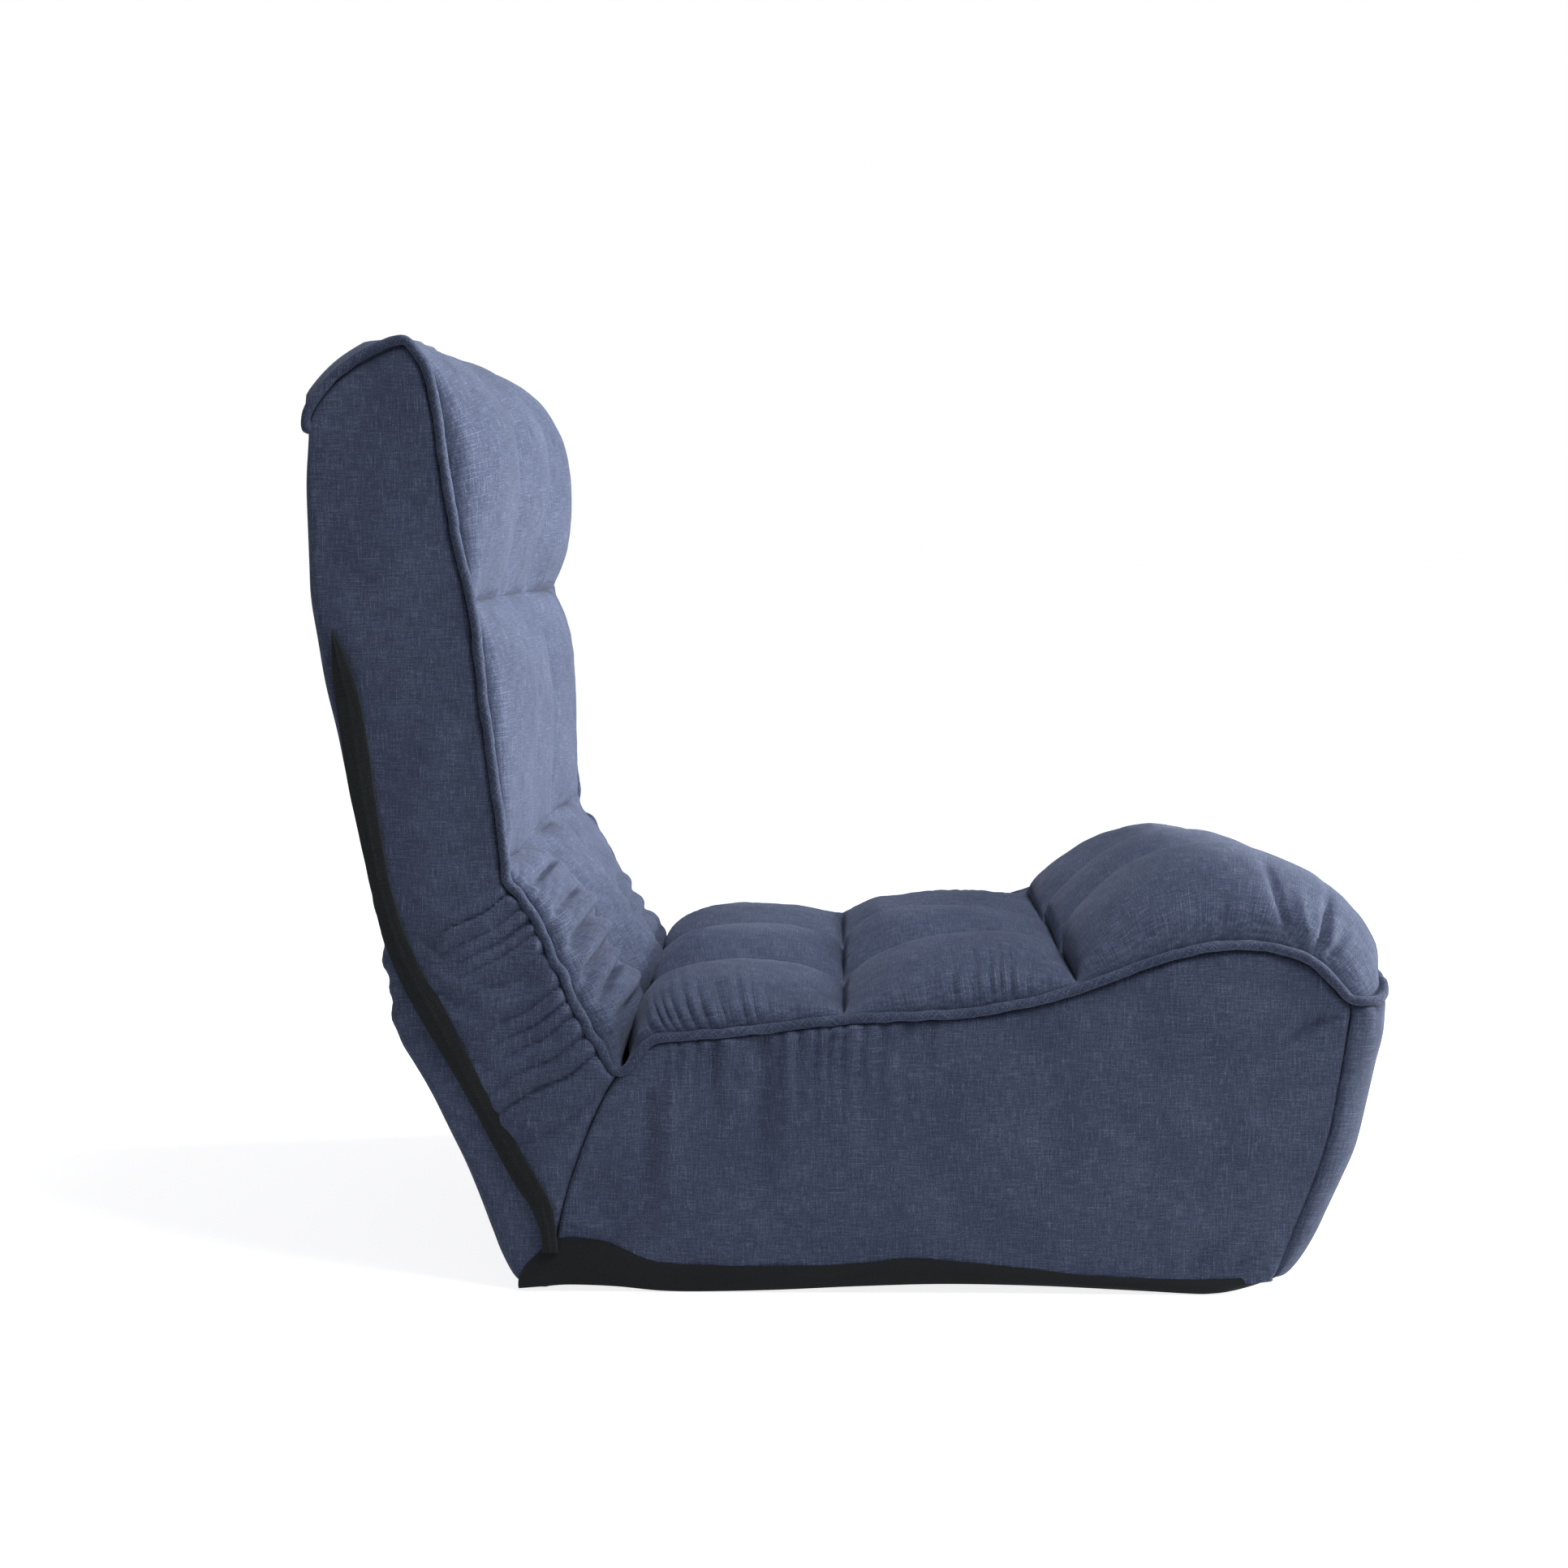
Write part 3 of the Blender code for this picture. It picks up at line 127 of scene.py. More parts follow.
CREASE = (-0.1690, 0.1640)
TOP_CORNER = (-0.3165, 0.6935)
back_edge = smooth_line([CREASE, *mm(-174, 167, -178.5, 175, -184, 186, -194.6, 203.8, -204.6, 221.2,
    -210.5, 237.4, -219.2, 254.8, -225.1, 270.4, -231.5, 282.9, -239.7, 294, -246.2, 298.5,
    -250, 307, -252, 328.8, -256, 362.7, -266, 440, -272.5, 501.8, -285, 560, -293, 614,
    -298, 649, -305, 677), TOP_CORNER, *mm(-325.5, 695.3, -344, 688.5, -366, 674.5,
    -383.5, 655.5, -391.5, 641, -390, 629)], 900)
seat_edge = smooth_line([CREASE, *mm(-164, 166, -159, 171.5, -154.3, 178, -147.7, 185.3, -137, 189.8,
    -118, 191.4, -90, 193.5, -64.4, 196.5, -25.2, 201.5, 15.7, 205, 65.5, 207.5, 99.9, 211,
    133.5, 217.6, 158.9, 224.3, 184.2, 233.4, 218.2, 246, 251.7, 256.3, 276.9, 259.3,
    295.8, 259, 311.1, 257.2, 331.2, 251, 344.9, 241.6, 356, 229, 365.9, 219.5, 375.5, 218)], 700)
side_seam = smooth_line([*mm(-221.5, 2, -214.5, 45, -204, 85, -186, 132), CREASE], 200)
rear_edge = smooth_line(mm(-241.5, 3, -249.5, 11.2, -258, 28, -264.5, 46, -275, 74, -299, 129, -325, 177,
    -332.5, 199, -336.5, 218, -341, 238, -342.5, 256, -346, 279, -354, 321, -367, 380, -380, 445, -388, 492,
    -391.5, 533, -392, 591, -391, 629), 900)
front_seam = smooth_line(mm(311.5, 12, 316, 19, 328.3, 51.2, 339.6, 82.2, 348.5, 111, 354.5, 138,
    359.8, 172.8, 363.4, 198.6, 366, 215), 200)
front_reach = smooth_line(mm(300, 1, 317, 5, 328.5, 11, 338, 23, 347.5, 42, 355, 62, 364, 85, 373.5, 110,
    381, 143, 388, 172, 393, 190, 395, 202, 395.3, 220), 300)
hem_line = smooth_line(mm(-244, 10, -239.4, 18.5, -230.3, 27.5, -217, 38.5, -207, 40.5, -187, 39, -173, 35,
    -155, 27, -138, 22, -104, 20, -35, 20, 16, 23, 46, 26, 88, 23, 131, 19, 174, 14, 225, 12, 270, 11.5,
    298, 13.5, 312.5, 15), 400)


def front_rise(y):
    """Height of the front seam: it dips where the piping turns the corners."""
    return np.interp(np.abs(y), [0, 0.170, 0.215, 0.236, 0.248, 0.258, 0.266],
                     [0.2310, 0.2305, 0.2295, 0.2265, 0.2205, 0.2175, 0.2190])


print("seam lines", len(back_edge), len(seat_edge))

# %% [markdown]
# ## Finishes
# The cover is a linen-look plain weave: dark warp threads and paler weft threads that vary in
# thickness, so the eye sees short streaks both ways and a few bright slubs. The threads are
# half a millimetre apart, which is finer than a picture pixel, so the weave is drawn at twice that.
# A pattern in the cloth's own UV map, measured in metres, follows the panel as real threads do.

# %% Material helpers
def linear(code):
    """sRGB hex to the linear colour that a shader takes."""
    channels = [int(code[place:place + 2], 16) / 255 for place in (0, 2, 4)]
    return tuple(c / 12.92 if c <= 0.04045 else ((c + 0.055) / 1.055) ** 2.4 for c in channels) + (1.0,)


def tune(item, settings=None, links=None):
    """Sets a node's properties or inputs, and links its inputs."""
    for name, value in (settings or {}).items():
        if isinstance(name, str) and hasattr(item, name):
            setattr(item, name, value)
        else:
            item.inputs[name].default_value = value
    for name, output in (links or {}).items():
        item.id_data.links.new(output, item.inputs[name])
    return item


def add(tree, kind, settings=None, links=None):
    return tune(tree.nodes.new(kind), settings, links)


def new_finish(name):
    material = bpy.data.materials.new(name)
    material.use_nodes = True
    tree = material.node_tree
    return material, tree, tree.nodes["Principled BSDF"]


def ramp(tree, source, stops):
    item = add(tree, "ShaderNodeValToRGB", links={"Fac": source})
    band = item.color_ramp
    while len(band.elements) < len(stops):
        band.elements.new(0.5)
    for element, (position, colour) in zip(band.elements, stops):
        element.position = position
        element.color = colour
    return item.outputs["Color"]


def grey(value):
    return (value, value, value, 1.0)


def noise(tree, source, scale, detail, roughness=0.5):
    return add(tree, "ShaderNodeTexNoise", {"Scale": scale, "Detail": detail, "Roughness": roughness},
               {"Vector": source}).outputs["Fac"]


def threads(tree, source, across, length, detail=2.0):
    """Noise drawn out into streaks: across and length are their size in metres."""
    size = (1 / across, 1 / length, 1 / across)
    scaled = add(tree, "ShaderNodeMapping", {"Scale": size}, {"Vector": source})
    return noise(tree, scaled.outputs["Vector"], 1.0, detail, 0.6)


def calc(operation, a, b=0.0):
    """Arithmetic on a node's output and another output or a number."""
    item = add(a.id_data, "ShaderNodeMath", {"operation": operation}, {0: a})
    if isinstance(b, float):
        tune(item, {1: b})
    else:
        tune(item, links={1: b})
    return item.outputs["Value"]


def plus(a, b):
    return calc("ADD", a, b)


def times(a, b):
    return calc("MULTIPLY", a, b)


def bumped(tree, height, strength, distance):
    bump = add(tree, "ShaderNodeBump", {"Strength": strength, "Distance": distance}, {"Height": height})
    return bump.outputs["Normal"]


# %% Woven cloths
THREAD = 0.0010


def woven_cloth(name, dark, mid, light, pitch=0.0011, depth=0.35, streaks=1.0):
    """Plain weave with uneven threads, read from the piece's UV map in metres."""
    dark, mid, light = linear(dark), linear(mid), linear(light)
    material, tree, shader = new_finish(name)
    where = add(tree, "ShaderNodeUVMap", {"uv_map": "weave"}).outputs["UV"]
    warp, weft = threads(tree, where, THREAD, 0.014), threads(tree, where, 0.014, THREAD)
    fuzz, cloudy = threads(tree, where, 0.0011, 0.0011, 3.0), threads(tree, where, 0.06, 0.08, 3.0)
    shade = plus(times(warp, 0.34 * streaks), times(weft, 0.34 * streaks))
    shade = plus(plus(shade, times(fuzz, 1.18 - 0.68 * streaks)), times(cloudy, 0.20))
    colour = ramp(tree, shade, [(0.57, dark), (0.70, mid), (0.90, light)])
    broken = ramp(tree, threads(tree, where, 0.0012, 0.0022, 1.0), [(0.44, grey(0.15)), (0.54, grey(1.0))])
    slub_up, slub_over = threads(tree, where, THREAD, 0.020, 1.0), threads(tree, where, 0.028, THREAD, 1.0)
    for slub, edge, tone in ((slub_up, 0.655, light), (slub_over, 0.68, light), (slub_over, 0.36, dark)):
        band = [(edge, grey(0.0)), (edge + 0.05, grey(1.0))]
        if tone is dark:
            band = [(edge - 0.05, grey(1.0)), (edge, grey(0.0))]
        mask = times(times(ramp(tree, slub, band), broken), 0.75 * streaks)
        colour = add(tree, "ShaderNodeMix", {"data_type": "RGBA", 7: tone}, {0: mask, 6: colour}).outputs[2]
    place = add(tree, "ShaderNodeSeparateXYZ", links={"Vector": where})
    over, under = (calc("SINE", times(place.outputs[axis], 2 * math.pi / pitch)) for axis in "XY")
    height = plus(times(times(over, under), 0.35), shade)
    tune(shader, {"Roughness": 0.92, "Specular IOR Level": 0.25, "Sheen Weight": 0.22,
                  "Sheen Roughness": 0.5, "Sheen Tint": linear("b4bccf")},
         {"Base Color": colour, "Normal": bumped(tree, height, depth, 0.0006)})
    return material


linen = woven_cloth("linen_look_weave_navy", "373f55", "48516a", "737d98")
piping_linen = woven_cloth("linen_look_weave_on_the_bias", "2e354a", "414a62", "6f7993", pitch=0.0010)
black_cloth = woven_cloth("nonwoven_black", "0e1011", "15181a", "24282a", 0.0014, depth=0.25, streaks=0.4)
zip_weave = woven_cloth("zip_tape_weave_black", "0f1112", "171b1c", "2a2f30", 0.0012, depth=0.3, streaks=0.7)
webbing = woven_cloth("polypropylene_webbing_grey", "3c3d3c", "5a5b59", "7b7c79", 0.0030, depth=0.8)
print("woven finishes", [m.name for m in (linen, piping_linen, black_cloth, zip_weave, webbing)])

# %% Foam and steel
def foam_finish(name, dark, light):
    """Cut polyurethane foam: pale, matt, with open cells about 1 mm wide."""
    material, tree, shader = new_finish(name)
    where = add(tree, "ShaderNodeTexCoord").outputs["Object"]
    cells = add(tree, "ShaderNodeTexVoronoi", {"Scale": 900.0}, {"Vector": where}).outputs["Distance"]
    shade = plus(times(cells, 0.5), times(noise(tree, where, 14.0, 4.0), 0.7))
    tune(shader, {"Roughness": 0.97, "Specular IOR Level": 0.2},
         {"Base Color": ramp(tree, shade, [(0.25, linear(dark)), (0.75, linear(light))]),
          "Normal": bumped(tree, cells, 0.5, 0.0008)})
    return material


def metal_finish(name, dark, light, metallic, roughness, grain):
    """A metal or painted metal surface with fine unevenness and slightly worn spots."""
    material, tree, shader = new_finish(name)
    where = add(tree, "ShaderNodeTexCoord").outputs["Object"]
    fine = noise(tree, where, grain, 4.0)
    colour = ramp(tree, noise(tree, where, 40.0, 3.0), [(0.35, linear(dark)), (0.65, linear(light))])
    rough = add(tree, "ShaderNodeMapRange", {"To Min": roughness - 0.08, "To Max": roughness + 0.08},
                {"Value": fine}).outputs["Result"]
    tune(shader, {"Metallic": metallic},
         {"Base Color": colour, "Roughness": rough, "Normal": bumped(tree, fine, 0.15, 0.0002)})
    return material


foam = foam_finish("polyurethane_foam", "b9ab86", "ddd3b4")
painted_steel = metal_finish("powder_coated_steel_grey", "37393b", "45474a", 0.0, 0.45, 900.0)
zinc = metal_finish("zinc_plated_steel", "a9aaa6", "c6c7c2", 1.0, 0.34, 1400.0)
STEEL_TUBES = ("seat_frame", "back_frame", "head_frame")
HINGE_WORDS = ("bracket", "arm_", "pawl", "rivet", "spring")
for name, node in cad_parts.items():
    look = painted_steel if name in STEEL_TUBES else zinc if any(w in name for w in HINGE_WORDS) else None
    if look:
        node.data.materials.clear()
        node.data.materials.append(look)
print("steel parts keep their CAD shape and get", painted_steel.name, "and", zinc.name)

# %% [markdown]
# ## A cloth panel from a grid
# Every panel starts as a flat grid of small squares, as cloth comes off the roll. Each corner of the
# grid is then moved to its place on the chair. The UV map keeps the flat size in metres, so that the
# threads run straight in the panel and bend with it. A panel is closed by extruding the grid
# to a back face, because padding and wadding fill it.

# %% Panel helpers
HALF_WIDTH = 0.270
BODY_Y = 0.2665
PIPING_RADIUS = 0.0042
PIPING_Y = HALF_WIDTH - PIPING_RADIUS
QUILT_Y = PIPING_Y - PIPING_RADIUS + 0.0012
SEAM_INSET = 0.0022
CORNER = 0.030
SIDES = ((1, "left"), (-1, "right"))


def at_y(flat, y):
    """Points in space from points in the side view."""
    return np.stack([flat[..., 0], np.broadcast_to(y, flat.shape[:-1]), flat[..., 1]], axis=-1)


def grid_mesh(columns, rows, size):
    """A flat grid with a UV map called weave, whose unit is a metre."""
    mesh = bmesh.new()
    mesh.loops.layers.uv.new("weave")
    bmesh.ops.create_grid(mesh, x_segments=columns, y_segments=rows, size=0.5, calc_uvs=True)
    weave = mesh.loops.layers.uv["weave"]
    for face in mesh.faces:
        for loop in face.loops:
            loop[weave].uv = ((loop.vert.co.x + 0.5) * size[0], (loop.vert.co.y + 0.5) * size[1])
    mesh.verts.ensure_lookup_table()
    places = [((v.co.x + 0.5) * columns, (v.co.y + 0.5) * rows) for v in mesh.verts]
    return mesh, np.array(places).round().astype(int)


def move_to(mesh, places, points):
    """Moves the grid's corners to points[row, column]."""
    for vert, (column, row) in zip(mesh.verts, places):
        vert.co = points[row, column]


def as_object(name, mesh, material, smooth=True):
    for face in mesh.faces:
        face.smooth = smooth
    data = bpy.data.meshes.new(name)
    mesh.to_mesh(data)
    mesh.free()
    data.materials.append(material)
    item = bpy.data.objects.new(name, data)
    bpy.context.scene.collection.objects.link(item)
    return item


def normals_of(points):
    """Unit normals of a grid of points."""
    cross = np.cross(np.gradient(points, axis=1), np.gradient(points, axis=0))
    return cross / np.maximum(np.linalg.norm(cross, axis=-1, keepdims=True), 1e-12)


def closed_panel(name, outer, inner, size, material):
    """A closed body between an outer and an inner grid of points."""
    rows, columns = outer.shape[0] - 1, outer.shape[1] - 1
    mesh, places = grid_mesh(columns, rows, size)
    move_to(mesh, places, inner)
    back = list(mesh.verts)
    made = bmesh.ops.extrude_face_region(mesh, geom=list(mesh.faces))
    front = [g for g in made["geom"] if isinstance(g, bmesh.types.BMVert)]
    for vert, (column, row) in zip(front, order_of(front, back, places)):
        vert.co = outer[row, column]
    bmesh.ops.recalc_face_normals(mesh, faces=list(mesh.faces))
    for edge in mesh.edges:
        edge.smooth = edge.calc_face_angle(0.0) < math.radians(50)
    return as_object(name, mesh, material)


def order_of(front, back, places):
    """Grid places of the extruded corners: each still lies on the corner it came from."""
    known = {tuple(round(c, 7) for c in v.co): tuple(p) for v, p in zip(back, places)}
    return [known[tuple(round(c, 7) for c in v.co)] for v in front]


WOBBLE_VALUES = 64
RIPPLE_WAVES = 9


def wobble(t, seed):
    """Smooth random values from -1 to 1 along a line, the same at every run."""
    values = np.random.default_rng(seed).uniform(-1, 1, WOBBLE_VALUES)
    t = np.asarray(t, float)
    low = np.floor(t).astype(int)
    mix = t - low
    mix = mix * mix * (3 - 2 * mix)
    return values[low % WOBBLE_VALUES] * (1 - mix) + values[(low + 1) % WOBBLE_VALUES] * mix


def ripple(x, y, size, seed):
    """Soft unevenness of about one unit height over a surface, with bumps of a given size."""
    random = np.random.default_rng(seed)
    total = np.zeros(np.broadcast(x, y).shape)
    for _ in range(RIPPLE_WAVES):
        angle, phase = random.uniform(0, 2 * math.pi), random.uniform(0, 2 * math.pi)
        turns = 2 * math.pi * random.uniform(0.7, 1.6)
        total = total + np.sin((x * math.cos(angle) + y * math.sin(angle)) * turns / size + phase)
    return total / math.sqrt(RIPPLE_WAVES)


def gathers(seam, away, pitch, reach, seed):
    """Small folds that start at a seam and fade away from it: 1 on a ridge, 0 in a groove."""
    t = seam / pitch + 0.7 * wobble(seam / pitch * 0.5, seed) + 0.18 * wobble(away / 0.03, seed + 3)
    strength = 0.78 + 0.26 * wobble(seam / pitch * 0.8, seed + 1)
    length = reach * (1 + 0.6 * wobble(seam / pitch * 0.6, seed + 2))
    return np.abs(np.sin(math.pi * t)) ** 0.8 * strength * np.exp(-(away / length) ** 1.4)


def folds(x, z, lines):
    """Single folds in the side view: x, z of the start, x, z of the end, width, height."""
    total = np.zeros(np.broadcast(x, z).shape)
    for ax, az, bx, bz, width, height in lines:
        length = math.hypot(bx - ax, bz - az)
        ux, uz = (bx - ax) / length, (bz - az) / length
        t = ((x - ax) * ux + (z - az) * uz) / length
        off = np.abs(-(x - ax) * uz + (z - az) * ux)
        fade = clip01(1.15 - t) * clip01(t * 6 + 1)
        total += height * fade * np.exp(-(off / (width * (0.55 + 0.6 * clip01(t)))) ** 2)
    return total


def rounded_edge(distance, radius):
    """How far a padded panel falls away at its sewn edge."""
    inside = clip01(1 - distance / radius)
    return 1 - np.sqrt(1 - inside ** 2)


def declare(piece, nodes, moves):
    """Hides the solids that a piece stands for and attaches it to the body it moves with, or passes it to
    the given function.
    """
    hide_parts(*nodes)
    if callable(moves):
        moves(piece)
    else:
        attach(piece, moves)
    print(piece.name, len(piece.data.polygons), "faces")


def bends_at_hinge(piece):
    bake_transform(piece)


def bends_at_neck(piece):
    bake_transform(piece)


# %% [markdown]
# ## Tufted rows
# The sitter touches six quilted rows of three tufts: head, shoulders, small of the back, two on the
# seat and the knee roll. On the real chair wadding is trapped between the cover and a backing by
# channels of stitching. Each row is a grid laid over the row's profile, raised between its seams,
# then let settle as cloth under air pressure with its seams held, which gives the soft creases.

# %% Settle a row as cloth
COLUMNS = 3
SETTLING_FRAMES = 18
MOST_SETTLED = 0.004
CLOTH = {"quality": 5, "mass": 0.25, "vertex_group_mass": "seams", "use_pressure": True,
         "tension_stiffness": 12.0, "compression_stiffness": 12.0, "shear_stiffness": 3.0,
         "bending_stiffness": 4.0}


def settled(points, inside):
    """Runs the cloth solver on a row of tufts with its seams held, and limits how far it moves."""
    held = np.zeros(points.shape[:2], bool)
    held[0] = held[-1] = held[:, ::(points.shape[1] - 1) // COLUMNS] = True
    outward = np.sign(((points - inside) * np.cross(np.gradient(points, axis=1),
                                                    np.gradient(points, axis=0))).sum())
    mesh, places = grid_mesh(points.shape[1] - 1, points.shape[0] - 1, (1, 1))
    move_to(mesh, places, points)
    item = as_object("settling", mesh, linen)
    pins = item.vertex_groups.new(name="seams")
    pins.add([k for k, (column, row) in enumerate(places) if held[row, column]], 1.0, "REPLACE")
    cloth = item.modifiers.new("cloth", "CLOTH")
    for name, value in {**CLOTH, "uniform_pressure_force": 3.0 * outward}.items():
        setattr(cloth.settings, name, value)
    cloth.settings.effector_weights.gravity = 0.0
    cloth.collision_settings.use_collision = False
    cloth.point_cache.frame_end = SETTLING_FRAMES
    scene = bpy.context.scene
    for number in range(1, SETTLING_FRAMES + 1):
        scene.frame_set(number)
    evaluated = item.evaluated_get(bpy.context.evaluated_depsgraph_get())
    flat = np.empty(len(evaluated.data.vertices) * 3)
    evaluated.data.vertices.foreach_get("co", flat)
    moved = np.empty_like(points)
    moved[places[:, 1], places[:, 0]] = flat.reshape(-1, 3)
    data = item.data
    bpy.data.objects.remove(item)
    bpy.data.meshes.remove(data)
    scene.frame_set(1)
    change = moved - points
    furthest = np.linalg.norm(change, axis=-1).max()
    print("cloth settled by up to", round(furthest * 1000, 1), "mm")
    return points + change * min(1, MOST_SETTLED / furthest)


def finer(points, factors):
    """The grid of points with smooth points added between them, up and across."""
    for axis, factor in enumerate(factors):
        count = points.shape[axis]
        wanted = np.linspace(0, count - 1, (count - 1) * factor + 1)
        low = np.clip(np.floor(wanted).astype(int), 0, count - 2)
        t = wanted - low
        shape = [1, 1, 1]
        shape[axis] = len(t)
        t = t.reshape(shape)
        take = lambda k: np.take(points, np.clip(k, 0, count - 1), axis=axis)
        a, b, c, d = take(low - 1), take(low), take(low + 1), take(low + 2)
        points = between(a, b, c, d, t)
    return points


# %% Shape of a row of three tufts
CELL = 0.0045
PULLED_IN = 0.008
CHANNEL_REACH = 0.03
BACKING = 0.002
SEAM_TUCK, TUCK_RADIUS = 0.011, 0.007


def tuft_level(share, seam, edge):
    """Height across the chair: 1 on each crest, lower at the seams and lowest at the outer edges."""
    column = np.clip(share * COLUMNS, 0, COLUMNS - 1e-9)
    place = column - np.floor(column)
    off_crest = np.abs(2 * place - 1)
    at_the_side = (column < 0.5) | (column > COLUMNS - 0.5)
    bump = np.where(at_the_side, clip01(1 - off_crest ** 2.1) ** 0.55, clip01(1 - off_crest ** 1.7) ** 0.85)
    left = np.where(column < 1, edge, seam)
    right = np.where(column >= COLUMNS - 1, edge, seam)
    floor = left + (right - left) * place * place * (3 - 2 * place)
    return floor + (1 - floor) * bump


def row_points(base, crests, seam, edge, width, open_top):
    """Outer and inner surface of a row between its base line and its tufts' crest lines, right to left."""
    steps = int(round(lengths(crests[0])[-1] / CELL))
    base = evenly(base, steps)
    crests = np.stack([evenly(line, steps) for line in crests], axis=1)
    inward = base - aside(base, 1.0)
    inward *= np.sign(((base - crests.mean(axis=1)) * inward).sum())
    columns = COLUMNS * int(round(2 * QUILT_Y / COLUMNS / CELL))
    share = np.linspace(0, 1, columns + 1)
    place = np.clip(share * COLUMNS - 0.5, 0, COLUMNS - 1)
    low = np.minimum(np.floor(place).astype(int), COLUMNS - 2)
    mix = ((place - low) ** 2 * (3 - 2 * (place - low)))[None, :, None]
    crown = crests[:, low] * (1 - mix) + crests[:, low + 1] * mix
    along_row = np.linspace(0, 1, steps + 1)[:, None]
    channel = seam * (0.35 + 0.65 * np.sin(math.pi * along_row) ** 0.7)
    level = tuft_level(share[None, :], channel, edge)[..., None]
    deep = clip01(np.minimum(share, 1 - share) * 2 * QUILT_Y / CHANNEL_REACH)[None, :, None]
    if open_top:
        level = level + (1 - level) * clip01((along_row[..., None] - 0.92) / 0.06) * deep
    sunk = base[:, None, :] + inward[:, None, :] * PULLED_IN * deep
    flat = sunk + (crown - sunk) * level
    back = sunk + inward[:, None, :] * BACKING * deep
    y = (2 * share - 1)[None, :] * (np.full(steps + 1, QUILT_Y) if width is None else width(base))[:, None]
    return at_y(flat, y), at_y(back, y)


def tufted_row(name, base, crests, node, moves, dress, seam, edge=0.06, width=None, shape=None,
               open_top=False, fine=(2, 2)):
    """Makes one quilted row between two cross seams and hides the plain solid that it stands for.

    Each crest line runs up one tuft. seam and edge are the heights left at the channels and at the
    piping, as shares of the crest; dress adds the row's own folds; width narrows it along its base.
    """
    crests = [smooth_line(line) for line in crests]
    outer, inner = row_points(base, crests, seam, edge, width, open_top)
    if shape:
        outer = shape(outer)
    outer = settled(outer, inner)
    size = (2 * QUILT_Y, lengths(crests[0])[-1])
    outer, inner = finer(outer, fine), finer(inner, fine)
    for end, beside in ((0, 1), (-1, -2)):
        for points in (outer, inner):
            points[beside] += 0.6 * (points[end] - points[beside])
        inner[end] += BACKING * unit(inner[end] - inner[beside])
    normal = normals_of(outer)
    normal = normal * np.sign(((outer - inner) * normal).sum(-1).mean())
    across = (np.linspace(0, 1, outer.shape[1]) * size[0])[None, :]
    up = (np.linspace(0, 1, outer.shape[0]) * size[1])[:, None]
    up[1], up[-2] = 0.4 * up[1], size[1] - 0.4 * up[1]
    from_side = np.minimum(across, size[0] - across)
    channel = np.abs(((across / size[0] * COLUMNS) + 0.5) % 1 - 0.5) * size[0] / COLUMNS
    from_end = np.minimum(up, size[1] - up)
    seed = len(name)
    lift = 0.0005 * ripple(across, up, 0.07, seed) + 0.00015 * ripple(across, up, 0.02, seed + 5)
    lift += 0.0007 * gathers(across, from_end, 0.013, 0.010, seed + 11)
    lift += 0.0005 * gathers(up, channel, 0.014, 0.008, seed + 17)
    lift += dress(outer, across, up, from_side, size)
    calm = np.minimum(1, np.minimum(from_end, from_side) / 0.004)
    thick = np.linalg.norm(outer - inner, axis=-1)
    to_seam = up if open_top else from_end
    tucked = SEAM_TUCK * rounded_edge(to_seam, TUCK_RADIUS) * clip01((thick - 0.004) / 0.014)
    inwards = (inner - outer) * (tucked / np.maximum(thick, 0.001))[..., None]
    outer = outer + normal * (lift * calm)[..., None] + inwards
    piece = closed_panel(name, outer, inner, size, linen)
    declare(piece, [node], moves)


# %% Head, shoulder and lumbar rows
inside_back = aside(back_edge, -SEAM_INSET)
HEAD_SEAM, MID_SEAM = (-0.275, 0.509), (-0.2515, 0.318)


def short_gathers(pitch, reach, height, start=0.0, end=9.0, seed=0):
    """Gathers from the piping at both sides, between two heights up the row."""
    def dress(outer, across, up, from_side, size):
        mask = clip01((up - start) / 0.02) * clip01((end - up) / 0.02)
        return height * mask * gathers(up, from_side, pitch, reach, seed)
    return dress


tufted_row(
    "head_tufts", part_of(inside_back, HEAD_SEAM, TOP_CORNER, 60),
    [mm(-270, 511, -262, 529, -255, 551, -250, 580, -249, 610, -254, 638, -266, 660, -286, 681, -310, 694,
        -319, 696),
     mm(-273, 511, -265, 530, -255, 555, -247, 585, -246, 612, -251, 643, -268, 669, -290, 688, -310, 696.5,
        -319, 698.5),
     mm(-266, 510.5, -258, 525, -250, 546, -246, 577, -246, 610, -254, 642, -271, 671, -292, 689,
        -310, 697.5, -319, 699)],
    "head_quilt", bends_at_neck, short_gathers(0.012, 0.010, 0.0006, seed=21), seam=0.30, open_top=True)
tufted_row(
    "shoulder_tufts", part_of(inside_back, MID_SEAM, HEAD_SEAM, 60),
    [mm(-252.5, 317, -247, 323, -242.5, 340, -239, 370, -237.5, 403, -237.5, 438, -240, 464, -250, 487,
        -269, 508.5),
     mm(-256, 318, -252, 328, -248, 348, -245, 378, -244, 408, -245.5, 440, -250, 467, -259, 490, -272, 508),
     mm(-256, 317, -248, 323, -244, 337, -244, 370, -244.5, 400, -245, 432, -246.5, 462, -254, 486,
        -266, 508.5)],
    "mid_quilt", "backrest", short_gathers(0.012, 0.012, 0.0008, seed=22), seam=0.12)

LUMBAR_FOLDS = mm(
    -217, 320, -237, 298, 4.8, -8,  -199, 298, -220, 277, 4.5, -8,  -186, 277.5, -212, 246.5, 5, -10.5,
    -175, 255.5, -205, 223, 4.8, -10,  -169, 237.5, -193, 204, 4.2, -8.5,  -151, 216, -174.5, 199.5, 4.5, -7,
    -192, 286, -217, 262, 7, 3.5,  -180, 266, -209, 235, 7, 4,  -171, 246, -199, 213, 6, 3.5,
    -158, 224, -184, 202, 7, 3.5, each=6)


